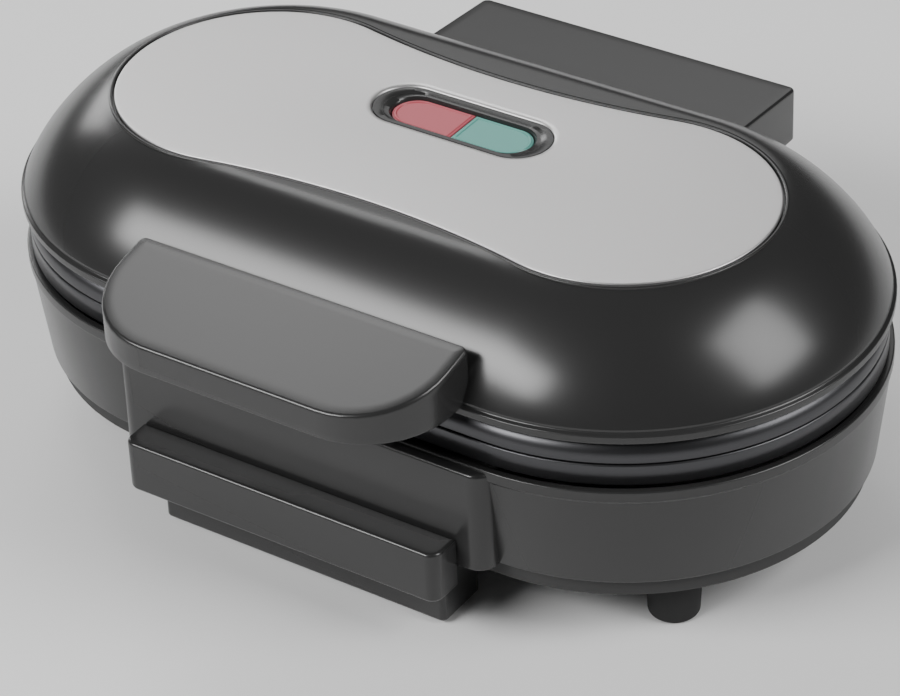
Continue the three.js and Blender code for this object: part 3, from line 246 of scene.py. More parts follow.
def rounded_box(x, y0, y1, front, back, inset=0.0):
    """Rectangle from -x to x and y0 to y1 with round corners, moved inwards by an inset: each corner is a
    quarter circle whose radius shrinks with the inset and never falls to nothing."""
    turn = np.linspace(0, np.pi / 2, CORNER_STEPS + 1)
    x, y0, y1 = x - inset, y0 + inset, y1 - inset
    least = 0.02 * MM
    rows = []
    for side, y, inward, radius, start in (
        (-1, y0, 1, front, 2), (1, y0, 1, front, 3), (1, y1, -1, back, 0), (-1, y1, -1, back, 1),
    ):
        r = max(radius - inset, least)
        angle = start * np.pi / 2 + turn
        rows.append(np.column_stack([side * (x - r) + r * np.cos(angle), y + inward * r + r * np.sin(angle)]))
    return np.vstack(rows)


def circle(radius, x=0.0, y=0.0, steps=48):
    """Circle in plan, anticlockwise."""
    turn = np.linspace(0, 2 * np.pi, steps, endpoint=False)
    return np.column_stack([x + radius * np.cos(turn), y + radius * np.sin(turn)])


def rounded_line(points, steps=6):
    """A line of (out, height, radius) points with each inner corner turned into an arc of its radius that
    touches both its sides. The arc's centre lies on the bisector, at radius / sin(half the corner)."""
    line = [np.array(points[0][:2])]
    for before, corner, after in zip(points, points[1:], points[2:]):
        p, radius = np.array(corner[:2]), corner[2]
        if radius == 0:
            line.append(p)
            continue
        a = np.array(before[:2]) - p
        b = np.array(after[:2]) - p
        a, b = a / np.linalg.norm(a), b / np.linalg.norm(b)
        half = math.acos(np.clip(a @ b, -1, 1)) / 2
        bisector = (a + b) / np.linalg.norm(a + b)
        centre = p + bisector * radius / math.sin(half)
        start, stop = p + a * radius / math.tan(half) - centre, p + b * radius / math.tan(half) - centre
        first = math.atan2(start[1], start[0])
        sweep = (math.atan2(stop[1], stop[0]) - first + math.pi) % (2 * math.pi) - math.pi
        for share in np.linspace(0, 1, steps + 1):
            angle = first + sweep * share
            line.append(centre + radius * np.array([math.cos(angle), math.sin(angle)]))
    line.append(np.array(points[-1][:2]))
    return np.array(line)


def rings(plan, line, level=None):
    """Rows of a surface: the plan outline moved inwards by each point's first number, at the height of its
    second. A level function may tilt the height by the place in plan."""
    rows = []
    for inset, height in line:
        xy = plan(inset)
        z = np.full(len(xy), height) if level is None else level(xy, height)
        rows.append(np.column_stack([xy, z]))
    return np.array(rows)


def turned(line, steps=48):
    """Rows of a round body about Z: each (radius, height) point goes once round."""
    return np.array([np.column_stack([circle(r, steps=steps), np.full(steps, z)]) for r, z in line])


class Shape:
    """Gathers the surfaces of one piece and makes its mesh."""

    def __init__(self):
        self.points = []
        self.faces = []
        self.count = 0

    def grid(self, rows, loop=False, first=False, last=False):
        """Adds four-sided faces over rows of points whose columns close on themselves. The rows close too
        with loop; first and last put a flat face over the first or last row."""
        height, width = rows.shape[:2]
        index = np.arange(height * width).reshape(height, width) + self.count
        across = np.vstack([index, index[:1]]) if loop else index
        across = np.hstack([across, across[:, :1]])
        quads = np.stack([across[:-1, :-1], across[:-1, 1:], across[1:, 1:], across[1:, :-1]], axis=-1)
        self.faces += quads.reshape(-1, 4).tolist()
        if first:
            self.faces.append(index[0][::-1].tolist())
        if last:
            self.faces.append(index[-1].tolist())
        self.points.append(rows.reshape(-1, 3))
        self.count += height * width
        return self

    def fill(self, outlines, z):
        """Adds a flat face inside the first outline and outside the others, made as a filled flat curve."""
        curve = bpy.data.curves.new("fill", "CURVE")
        curve.dimensions = "2D"
        curve.fill_mode = "BOTH"
        for outline in outlines:
            spline = curve.splines.new("POLY")
            spline.points.add(len(outline) - 1)
            flat = np.column_stack([outline, np.full(len(outline), 0.0), np.ones(len(outline))])
            spline.points.foreach_set("co", flat.astype(np.float32).ravel())
            spline.use_cyclic_u = True
        holder = bpy.data.objects.new("fill", curve)
        mesh = bpy.data.meshes.new_from_object(holder)
        co = np.zeros(len(mesh.vertices) * 3, np.float32)
        mesh.vertices.foreach_get("co", co)
        co = co.reshape(-1, 3).astype(float)
        co[:, 2] = z
        self.faces += [[v + self.count for v in p.vertices] for p in mesh.polygons]
        self.points.append(co)
        self.count += len(co)
        bpy.data.objects.remove(holder)
        bpy.data.curves.remove(curve)
        bpy.data.meshes.remove(mesh)
        return self

    def place(self, matrix):
        """Turns and moves everything gathered so far."""
        turn = np.array(matrix)[:3, :3]
        self.points = [p @ turn.T + np.array(matrix)[:3, 3] for p in self.points]
        return self

    def add(self, other):
        """Takes over another shape's surfaces."""
        self.faces += [[v + self.count for v in face] for face in other.faces]
        self.points += other.points
        self.count += other.count
        return self

    def piece(self, name, body, slot, *replaced, thickness=0.0, sharp=35, merge=0.004 * MM, turn=True):
        """Makes the mesh object, riding on a body and standing for nodes of the frame. A thickness gives an
        open surface a wall on its inner side."""
        mesh = bpy.data.meshes.new(name)
        mesh.from_pydata(np.vstack(self.points), [], self.faces)
        work = bmesh.new()
        work.from_mesh(mesh)
        bmesh.ops.remove_doubles(work, verts=work.verts, dist=merge)
        bmesh.ops.dissolve_degenerate(work, edges=work.edges, dist=merge / 4)
        if turn:
            bmesh.ops.recalc_face_normals(work, faces=work.faces)
        work.to_mesh(mesh)
        work.free()
        mesh.polygons.foreach_set("use_smooth", np.ones(len(mesh.polygons), bool))
        mesh.set_sharp_from_angle(angle=math.radians(sharp))
        obj = bpy.data.objects.new(name, mesh)
        bpy.context.scene.collection.objects.link(obj)
        if thickness:
            wall = obj.modifiers.new("wall", "SOLIDIFY")
            wall.thickness = thickness
            wall.offset = -1
        mesh.materials.append(finish(slot))
        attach(obj, body)
        if replaced:
            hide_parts(*replaced)
        return obj


# ------------------------------------------------------------------ finishes


class Value:
    """A shader value. Arithmetic on it, with numbers or other values, adds Math nodes."""

    def __init__(self, tree, socket):
        self.tree = tree
        self.socket = socket

    def math(self, operation, first, second):
        node = self.tree.nodes.new("ShaderNodeMath")
        node.operation = operation
        for socket, value in zip(node.inputs, (first, second)):
            link(self.tree, socket, value)
        return Value(self.tree, node.outputs[0])

    def __add__(self, other):
        return self.math("ADD", self, other)

    def __mul__(self, other):
        return self.math("MULTIPLY", self, other)

    __radd__ = __add__
    __rmul__ = __mul__


def link(tree, socket, value):
    """Joins a value to a socket, or sets the socket to a number or colour."""
    if isinstance(value, Value):
        tree.links.new(value.socket, socket)
    elif isinstance(value, (tuple, list)) and len(value) == 3 and len(socket.default_value) == 4:
        socket.default_value = (*value, 1)
    else:
        socket.default_value = value


class Finish:
    """One procedural material round a Principled shader."""

    def __init__(self, name, **constants):
        self.material = bpy.data.materials.new(name)
        self.material.use_nodes = True
        self.tree = self.material.node_tree
        self.shader = self.tree.nodes["Principled BSDF"]
        for socket, value in constants.items():
            link(self.tree, self.shader.inputs[socket.replace("_", " ")], value)

    def node(self, kind, output=0, **sockets):
        """Adds a node with the values or links of its sockets. Gives one of its outputs."""
        made = self.tree.nodes.new("ShaderNode" + kind)
        for name, value in sockets.items():
            link(self.tree, made.inputs[name.replace("_", " ")], value)
        return Value(self.tree, made.outputs[output])

    def place(self, scale=(1, 1, 1)):
        """Object coordinates, stretched."""
        return self.node("Mapping", Vector=self.node("TexCoord", output=3), Scale=scale)

    def noise(self, scale, detail=2.0, roughness=0.5, stretch=(1, 1, 1)):
        """Noise from 0 to 1 with features of about 1 / scale metres."""
        return self.node("TexNoise", Vector=self.place(stretch), Scale=scale, Detail=detail,
                         Roughness=roughness)

    def ramp(self, value, *stops):
        """The value through a ramp of two (position, level) stops."""
        made = self.tree.nodes.new("ShaderNodeValToRGB")
        for element, (position, level) in zip(made.color_ramp.elements, stops):
            element.position = position
            element.color = (level, level, level, 1)
        link(self.tree, made.inputs["Fac"], value)
        return Value(self.tree, made.outputs[0])

    def mix(self, share, first, second):
        """A colour between two colours."""
        node = self.tree.nodes.new("ShaderNodeMix")
        node.data_type = "RGBA"
        link(self.tree, node.inputs[0], share)
        link(self.tree, node.inputs[6], first)
        link(self.tree, node.inputs[7], second)
        return Value(self.tree, node.outputs[2])

    def feed(self, **values):
        """Joins values to the shader's sockets."""
        for socket, value in values.items():
            link(self.tree, self.shader.inputs[socket.replace("_", " ")], value)
        return self

    def bump(self, height, distance, strength=1.0):
        """Makes the surface's relief from a height."""
        relief = self.node("Bump", Height=height, Distance=distance, Strength=strength)
        return self.feed(Normal=relief)


def shaded(colour, share):
    """A colour made darker or lighter by a share."""
    return tuple(min(1, c * share) for c in colour)


def gloss_black(made, colours):
    """Black gloss plastic: a faint orange peel, and smudges that dull it a little."""
    smudge = made.ramp(made.noise(26, 4, 0.6), (0.42, 0.0), (0.72, 1.0))
    dust = made.ramp(made.noise(2600, 1), (0.70, 0.0), (0.80, 1.0))
    black = tuple(colours.gloss_black)
    made.feed(Base_Color=made.mix(dust * 0.02, black, (0.08, 0.08, 0.08)),
              Roughness=0.055 + smudge * 0.03 + dust * 0.08)
    made.bump(made.noise(420, 2), 0.00002, 0.35)


def satin_black(made, colours):
    """Black plastic with a fine spark-eroded texture."""
    grain = made.noise(2200, 3, 0.6)
    patch = made.noise(30, 3)
    black = tuple(colours.satin_black)
    made.feed(Base_Color=made.mix(patch * 0.5, black, shaded(black, 1.7)), Roughness=0.34 + grain * 0.2)
    made.bump(grain, 0.00006, 0.6)


def steel_plate(made, colours):
    """Steel brushed along its length: long fine streaks in colour, roughness and relief."""
    streak = made.noise(1, 3, 0.7, stretch=(60, 5200, 5200))
    broad = made.noise(1, 2, 0.5, stretch=(14, 420, 420))
    cloud = made.noise(18, 3, 0.5)
    steel = tuple(colours.steel)
    shade = made.mix(streak * 0.7 + broad * 0.3, shaded(steel, 0.86), shaded(steel, 1.1))
    made.feed(Base_Color=shade, Roughness=0.33 + streak * 0.12 + cloud * 0.05)
    made.bump(streak, 0.000012, 0.5)


def coated_plate(made, colours):
    """Dark non-stick coating with a speckled grain."""
    grain = made.noise(1500, 3, 0.7)
    speck = made.ramp(made.noise(3600, 1), (0.60, 0.0), (0.72, 1.0))
    wear = made.noise(22, 4, 0.6)
    dark = tuple(colours.coating)
    body = made.mix(grain, shaded(dark, 0.55), shaded(dark, 1.7))
    made.feed(Base_Color=made.mix(speck * 0.55, body, (0.34, 0.34, 0.35)),
              Roughness=0.36 + grain * 0.18 + wear * 0.06, Metallic=0.25 + speck * 0.3)
    made.bump(grain, 0.00012, 0.7)


def heated_metal(made, colours, low, high):
    """Drawn or rolled metal with a heat tint that comes and goes."""
    tint = made.noise(40, 3, 0.6)
    line = made.noise(900, 2)
    made.feed(Base_Color=made.mix(tint, low, high), Roughness=0.32 + line * 0.2)
    made.bump(line, 0.00003, 0.5)


def rubber(made, colours):
    """Matt rubber with a chalky bloom."""
    bloom = made.noise(60, 4, 0.6)
    grain = made.noise(2400, 2)
    made.feed(Base_Color=made.mix(bloom, (0.008, 0.008, 0.008), (0.020, 0.020, 0.020)),
              Roughness=0.5 + grain * 0.2)
    made.bump(grain, 0.00008, 0.6)


def tinted_lens(made, colours, name):
    """Tinted plastic lens: cloudy depth and a fine prismatic grain on its face."""
    cloud = made.noise(130, 3, 0.6)
    grain = made.noise(1700, 2)
    tint = tuple(getattr(colours, name))
    made.feed(Base_Color=made.mix(cloud * 0.8 + grain * 0.2, tint, shaded(tint, 1.3)),
              Roughness=0.20 + grain * 0.18)
    made.bump(grain, 0.00006, 0.6)


def lamp_glass(made, colours):
    """Glass of a neon lamp, faintly smoked."""
    smoke = made.noise(300, 2)
    made.feed(Base_Color=made.mix(smoke, (0.80, 0.55, 0.36), (0.92, 0.74, 0.56)),
              Roughness=0.06 + smoke * 0.1)


def ceramic(made, colours):
    """Unglazed ceramic with a sandy grain."""
    sand = made.noise(1400, 3)
    made.feed(Base_Color=made.mix(sand, (0.62, 0.57, 0.49), (0.80, 0.76, 0.69)), Roughness=0.55 + sand * 0.2)
    made.bump(sand, 0.0001, 0.5)


def silicone(made, colours, low, high):
    """Soft lead insulation."""
    bloom = made.noise(220, 3)
    made.feed(Base_Color=made.mix(bloom, low, high), Roughness=0.45 + bloom * 0.15)


HEATED_STEEL = partial(heated_metal, low=(0.24, 0.20, 0.17), high=(0.36, 0.36, 0.38))
SPANGLED = partial(heated_metal, low=(0.52, 0.50, 0.47), high=(0.66, 0.66, 0.67))
ZINC = partial(heated_metal, low=(0.48, 0.48, 0.50), high=(0.62, 0.62, 0.63))

# Each slot's material: what varies over it, and the constants of its shader.
FINISHES = {
    "gloss_black": (gloss_black, {"IOR": 1.14}),
    "satin_black": (satin_black, {"IOR": 1.45}),
    "steel_plate": (steel_plate, {"Metallic": 1.0}),
    "coated_plate": (coated_plate, {"IOR": 1.45}),
    "element_sheath": (HEATED_STEEL, {"Metallic": 1.0}),
    "shield_sheet": (SPANGLED, {"Metallic": 1.0}),
    "fastener_steel": (ZINC, {"Metallic": 1.0}),
    "rubber": (rubber, {}),
    "red_lens": (partial(tinted_lens, name="red_lens"), {"IOR": 1.2}),
    "green_lens": (partial(tinted_lens, name="green_lens"), {"IOR": 1.2}),
    "lamp_glass": (lamp_glass, {"Transmission_Weight": 0.6}),
    "ceramic": (ceramic, {}),
    "brown_lead": (partial(silicone, low=(0.09, 0.035, 0.02), high=(0.14, 0.06, 0.035)), {}),
    "blue_lead": (partial(silicone, low=(0.02, 0.07, 0.25), high=(0.04, 0.11, 0.34)), {}),
}


def finish(slot):
    """The material of a slot, made when it is first asked for."""
    if slot not in bpy.data.materials:
        build, constants = FINISHES[slot]
        build(Finish(slot, **constants), bpy.context.scene.donut_maker_colours)
    return bpy.data.materials[slot]


# ------------------------------------------------------------------ lid


def dome_share(share):
    """Superellipse from 1 at share 0 to 0 at share 1: (1 - share^n)^(1/n), where n is the fullness."""
    return (1 - np.clip(share, 0, 1) ** FULLNESS) ** (1 / FULLNESS)


def dome_reach(z):
    """Distance of the dome's surface from the lid's long middle plane at a height, from the rim to the flat
    crown. Below the rim it stays at the rim's radius."""
    return CROWN + (RIM - CROWN) * dome_share((z - LID_RIM) / (TOP - LID_RIM))


def dome_rows(inner, outer, steps, height):
    """Rows from one outline to a wider one over the dome. They close up towards the outer one as a sine does,
    and each point's height comes from its distance from the middle line between the end centres."""
    rows = []
    for share in np.sin(np.linspace(0, np.pi / 2, steps + 1)):
        xy = inner + (outer - inner) * share
        reach = np.hypot(np.maximum(np.abs(xy[:, 0]) - END, 0), xy[:, 1])
        rows.append(np.column_stack([xy, height(reach)]))
    return np.array(rows)


def flat_row(outline, z):
    """An outline as one row at a height."""
    return np.column_stack([outline, np.full(len(outline), z)])[None]


def knuckle(side, inner, stem):
    """One hinge knuckle: a ring with rounded rims round the hinge axis, and a stem whose side profile is
    given as (y, z) points."""
    half = KNUCKLE_WIDTH / 2
    bevel = 0.6 * MM
    line = rounded_line([(0, -half, 0), (KNUCKLE, -half, bevel), (KNUCKLE, half, bevel), (0, half, 0)], 3)
    middle = side * (inner + half)
    shape = Shape().grid(turned(line[1:-1]), first=True, last=True)
    shape.place(Matrix.Translation((middle, HINGE_Y, HINGE_Z)) @ Matrix.Rotation(math.pi / 2, 4, "Y"))
    stem = np.array(stem)
    slab = np.array([np.column_stack([np.full(len(stem), middle + end * half), stem]) for end in (-1, 1)])
    return shape.add(Shape().grid(slab, first=True, last=True))


def open_block(plan, line, level, clamp, bottom, wall):
    """A hollow block that is open below: outside down from its top edge, round its bottom lip, and up the
    inside. clamp trims every row where the block runs into the body."""
    outside = rings(plan, line, level)
    lip = rounded_line([(0, bottom + wall, 0), (0, bottom, 0.5 * MM), (wall, bottom, 0.5 * MM),
                        (wall, bottom + wall, 0)], 3)
    inside = rings(plan, [*lip, (wall, line[0][1] - wall)], level)
    return Shape().grid(clamp(np.vstack([outside, inside])), first=True, last=True)


class DONUTMAKER_OT_lid(bpy.types.Operator):
    """Lid: domed shell with a lip, the recess for the steel plate, and the hinge block behind it"""

    bl_idname = "donut_maker.lid"
    bl_label = "Lid"

    def execute(self, context):
        sizes = context.scene.donut_maker_sizes
        shape = self.dome(sizes).add(self.hinge_block(sizes))
        foot = HINGE_Y - KNUCKLE * 0.75
        rear = HINGE_Y + KNUCKLE * 0.75
        top = BLOCK_REAR_TOP - WALL / 2
        for side in (-1, 1):
            stem = [(foot, HINGE_Z), (rear, HINGE_Z), (rear, top), (foot, top)]
            shape.add(knuckle(side, LID_KNUCKLE, stem))
        shape.piece("lid_shell", "lid", "gloss_black", "upper_housing")
        return {"FINISHED"}

    def dome(self, sizes):
        """The shell as one closed surface: recess floor, lip, dome, rim lip, and back up the inside."""
        foot = LID_RIM + sizes.lip_height + 1.6 * MM
        skirt = RIM - sizes.lip_width

        def outside(reach):
            return LID_RIM + (TOP - LID_RIM) * dome_share((reach - CROWN) / (RIM - CROWN))

        def inside(reach):
            share = (reach - CROWN) / (RIM - 2 * WALL - CROWN)
            return LID_RIM + (TOP - 2 * WALL - LID_RIM) * dome_share(share)

        hole = racetrack(LENS_RADIUS + 1.9 * MM, LENS_END, (0, WINDOW_Y))
        gap = 0.6 * MM
        lip = 1.1 * MM
        lift = sizes.recess_lip
        rows = [flat_row(hole, RECESS_FLOOR), flat_row(dog_bone(gap), RECESS_FLOOR)]
        for angle in np.linspace(0, np.pi, 7):
            outline = dog_bone(gap + lip / 2 * (1 - math.cos(angle)))
            rows.append(flat_row(outline, TOP - lift + lift * math.sin(angle)))
        rows.append(dome_rows(dog_bone(gap + lip), racetrack(skirt), 30, outside))
        rim = rounded_line([
            (sizes.lip_width, foot, 0), (sizes.lip_width, LID_RIM + sizes.lip_height + 0.7 * MM, 0.8 * MM),
            (0, LID_RIM + sizes.lip_height, 0.5 * MM), (0, LID_RIM, 0.7 * MM), (WALL, LID_RIM, 0.3 * MM),
            (WALL, LID_RIM + WALL, 0),
        ], 5)
        rows.append(rings(lambda inset: racetrack(RIM - inset), rim[1:]))
        rows.append(dome_rows(hole, racetrack(RIM - 2 * WALL), 10, inside)[::-1])
        return Shape().grid(np.vstack(rows), loop=True)

    def hinge_block(self, sizes):
        """The hollow block behind the dome. Its top falls to the rear, and its front ends inside the dome."""
        def plan(inset):
            return rounded_box(BLOCK_HALF, BLOCK_ROOT, REAR, 0, BLOCK_CORNER, inset)

        def level(xy, height):
            share = np.clip((height - LID_RIM) / (BLOCK_REAR_TOP - LID_RIM), 0, 1)
            return height + share * BLOCK_SLOPE * (REAR - xy[:, 1])

        def clamp(rows):
            limit = dome_reach(rows[:, :, 2]) - BURY
            limit = np.where(rows[:, :, 2] < LID_RIM, RIM, limit)
            rows[:, :, 1] = np.maximum(rows[:, :, 1], limit)
            return rows

        edge = sizes.edge
        line = rounded_line([(4 * edge, BLOCK_REAR_TOP, 0), (0, BLOCK_REAR_TOP, edge), (0, LID_RIM, 0)], 6)
        return open_block(plan, line, level, clamp, HINGE_BOTTOM, WALL)


class DONUTMAKER_OT_steel_plate(bpy.types.Operator):
    """Steel plate: a flat waisted sheet with a rounded rim, rolled down into the lamp window"""

    bl_idname = "donut_maker.steel_plate"
    bl_label = "Steel plate"

    def execute(self, context):
        roll = context.scene.donut_maker_sizes.steel_roll
        low = TOP - STEEL_THICKNESS
        drop = 0.8 * STEEL_THICKNESS
        rows = []
        for angle in np.linspace(0, np.pi / 2, 9):
            radius = WINDOW_RADIUS + roll * (1 - math.cos(angle))
            outline = racetrack(radius, WINDOW_END, (0, WINDOW_Y))
            rows.append(flat_row(outline, TOP - drop + drop * math.sin(angle)))
        rim = 0.45 * MM
        rows.append(flat_row(dog_bone(-3 * rim), TOP))
        for angle in np.linspace(np.pi / 2, 0, 6):
            rows.append(flat_row(dog_bone(rim * (math.cos(angle) - 1)), TOP - rim + rim * math.sin(angle)))
        rows.append(flat_row(dog_bone(0), low))
        rows.append(flat_row(racetrack(WINDOW_RADIUS, WINDOW_END, (0, WINDOW_Y)), low))
        Shape().grid(np.vstack(rows), loop=True).piece("steel_plate", "lid", "steel_plate", "steel_top_plate")
        return {"FINISHED"}


class DONUTMAKER_OT_lamp_window(bpy.types.Operator):
    """Lamp window: the stepped black bezel, and the red and the green lens with raised borders"""

    bl_idname = "donut_maker.lamp_window"
    bl_label = "Lamp window"

    def execute(self, context):
        self.bezel()
        ridge = context.scene.donut_maker_sizes.lens_ridge
        for side, name in ((-1, "red"), (1, "green")):
            self.lens(side, ridge).piece(f"{name}_lens", "lid", f"{name}_lens", f"{name}_lamp_lens")
        return {"FINISHED"}

    def bezel(self):
        """A closed ring whose section runs from the window's outline in to the lens's, over two steps."""
        top = TOP - 0.55 * MM
        low = corners("lamp_bezel")[0][2]
        outer, inner = WINDOW_RADIUS - FIT, LENS_RADIUS + FIT
        step, last = 1.6 * MM, 2.9 * MM
        section = rounded_line([
            (0, TOP - STEEL_THICKNESS, 0), (0, top, 0), (1.3 * MM, top, 0), (1.7 * MM, top - 0.7 * MM, 0),
            (2.6 * MM, top - 0.8 * MM, 0), (last, top - 1.6 * MM, 0), (last, low, 0), (step, low, 0),
            (step, TOP - STEEL_THICKNESS, 0),
        ], 1)
        width = outer - inner
        rows = []
        for inset, z in section:
            share = inset / last
            end = WINDOW_END + (LENS_END - WINDOW_END) * share
            rows.append(flat_row(racetrack(outer - width * share, end, (0, WINDOW_Y)), z))
        ring = Shape().grid(np.vstack(rows), loop=True)
        ring.piece("window_bezel", "lid", "gloss_black", "lamp_bezel", sharp=50)

    def lens(self, side, ridge):
        """Half a racetrack with a rounded edge, a raised border and a groove inside it."""
        def plan(inset):
            radius = max(LENS_RADIUS - inset, 0.1 * MM)
            x0 = 0.2 * MM + inset
            turn = np.linspace(-np.pi / 2, np.pi / 2, 33)
            arc = np.column_stack([LENS_END + radius * np.cos(turn), WINDOW_Y + radius * np.sin(turn)])
            flat = np.array([[x0, WINDOW_Y + radius], [x0, WINDOW_Y - radius]])
            outline = np.vstack([arc, flat])
            return outline * (side, 1) if side > 0 else (outline * (side, 1))[::-1]

        face = LENS_TOP - ridge
        line = rounded_line([
            (0, LENS_LOW, 0), (0, face, 0.3 * MM), (0.5 * MM, face, 0), (0.8 * MM, LENS_TOP, 0.1 * MM),
            (1.3 * MM, LENS_TOP, 0.1 * MM), (1.6 * MM, face, 0), (2.2 * MM, face, 0),
        ], 3)
        return Shape().grid(rings(plan, line), first=True, last=True)


class DONUTMAKER_OT_upper_handle(bpy.types.Operator):
    """Upper handle: a hollow grip in front of the dome with large round front corners"""

    bl_idname = "donut_maker.upper_handle"
    bl_label = "Upper handle"

    def execute(self, context):
        edge = context.scene.donut_maker_sizes.edge

        def plan(inset):
            return rounded_box(HANDLE_HIGH[0], HANDLE_LOW[1], HANDLE_BACK, HANDLE_CORNER,
                               HANDLE_BACK_CORNER, inset)

        def level(xy, height):
            foot = HANDLE_LOW[2] + WALL
            share = np.clip((height - foot) / (HANDLE_FRONT_TOP - foot), 0, 1)
            return height + share * HANDLE_SLOPE * (xy[:, 1] - HANDLE_LOW[1])

        def clamp(rows):
            rows[:, :, 1] = np.minimum(rows[:, :, 1], BURY - dome_reach(rows[:, :, 2]))
            return rows

        bottom = HANDLE_LOW[2] - HANDLE_SKIRT
        side = [(0, z, 0) for z in np.linspace(HANDLE_FRONT_TOP - 1.5 * edge, bottom + 1.2 * WALL, 8)]
        line = rounded_line([(4 * edge, HANDLE_FRONT_TOP, 0), (0, HANDLE_FRONT_TOP, edge), *side], 6)
        shape = open_block(plan, line, level, clamp, bottom, WALL)
        shape.piece("lid_handle", "lid", "gloss_black", "upper_handle")
        return {"FINISHED"}


# ------------------------------------------------------------------ cooking plates


class DONUTMAKER_OT_cooking_plates(bpy.types.Operator):
    """Cooking plates: each a cast plate with six ring moulds, a skirt, and sunk places for four screws"""

    bl_idname = "donut_maker.cooking_plates"
    bl_label = "Cooking plates"

    def execute(self, context):
        edge = context.scene.donut_maker_sizes.plate_edge
        for name, body, face, way in (("upper", "lid", UPPER_FACE, 1), ("lower", "base", LOWER_FACE, -1)):
            shape = self.plate(edge)
            shape.place(Matrix.Translation((0, 0, face)) @ Matrix.Diagonal((1, 1, way, 1)))
            if way < 0:
                shape.faces = [f[::-1] for f in shape.faces]
            node = f"{name}_cooking_plate"
            shape.piece(f"{name}_mould_plate", body, "coated_plate", node, thickness=2 * MM, turn=False)
        return {"FINISHED"}

    def plate(self, edge):
        """The working face at height 0 with everything sunk from it upwards: the skirt round it, six ring
        moulds and four screw seats. Seen from below its faces run anticlockwise."""
        places = [(i * MOULD_COLUMN, j * MOULD_ROW) for i in (-1, 0, 1) for j in (-1, 1)]
        seats = [(centre_of(node).x, 0) for node in PLATE_SCREWS[:4]]
        lip = DONUT + 0.5 * MM
        seat = 3.7 * MM
        holes = [circle(lip, x, y, 64) for x, y in places] + [circle(seat, x, y, 24) for x, y in seats]
        shape = Shape().fill([racetrack(PLATE - edge), *holes], 0)
        shape.faces = [f if self.down(shape, f) else f[::-1] for f in shape.faces]
        turn = np.linspace(0, np.pi / 2, 6)
        skirt = [(edge * (1 - math.sin(a)), edge * (1 - math.cos(a))) for a in turn] + [(0, PLATE_EDGE)]
        shape.grid(rings(lambda inset: racetrack(PLATE - inset), skirt))
        ring, half = (DONUT + HUB) / 2, (DONUT - HUB) / 2
        angle = np.linspace(0, np.pi, 25)
        bowl = list(zip(ring + half * np.cos(angle), DONUT_DEPTH * np.sin(angle) ** 0.85))
        line = [(lip, 0), (DONUT + 0.15 * MM, 0.12 * MM), *bowl[1:-1],
                (HUB - 0.15 * MM, 0.12 * MM), (HUB - 0.6 * MM, 0)]
        for x, y in places:
            mould = Shape().grid(turned(line, 64)[::-1], first=True)
            shape.add(mould.place(Matrix.Translation((x, y, 0))))
        for x, y in seats:
            cup = turned([(seat, 0), (seat - 0.2 * MM, 0.3 * MM), (seat - 0.2 * MM, 2.2 * MM)], 24)
            shape.add(Shape().grid(cup[::-1], first=True).place(Matrix.Translation((x, y, 0))))
        return shape

    def down(self, shape, face):
        """Whether a flat face of the shape looks down."""
        a, b, c = np.vstack(shape.points)[face[:3]]
        return np.cross(b - a, c - a)[2] < 0


# ------------------------------------------------------------------ base


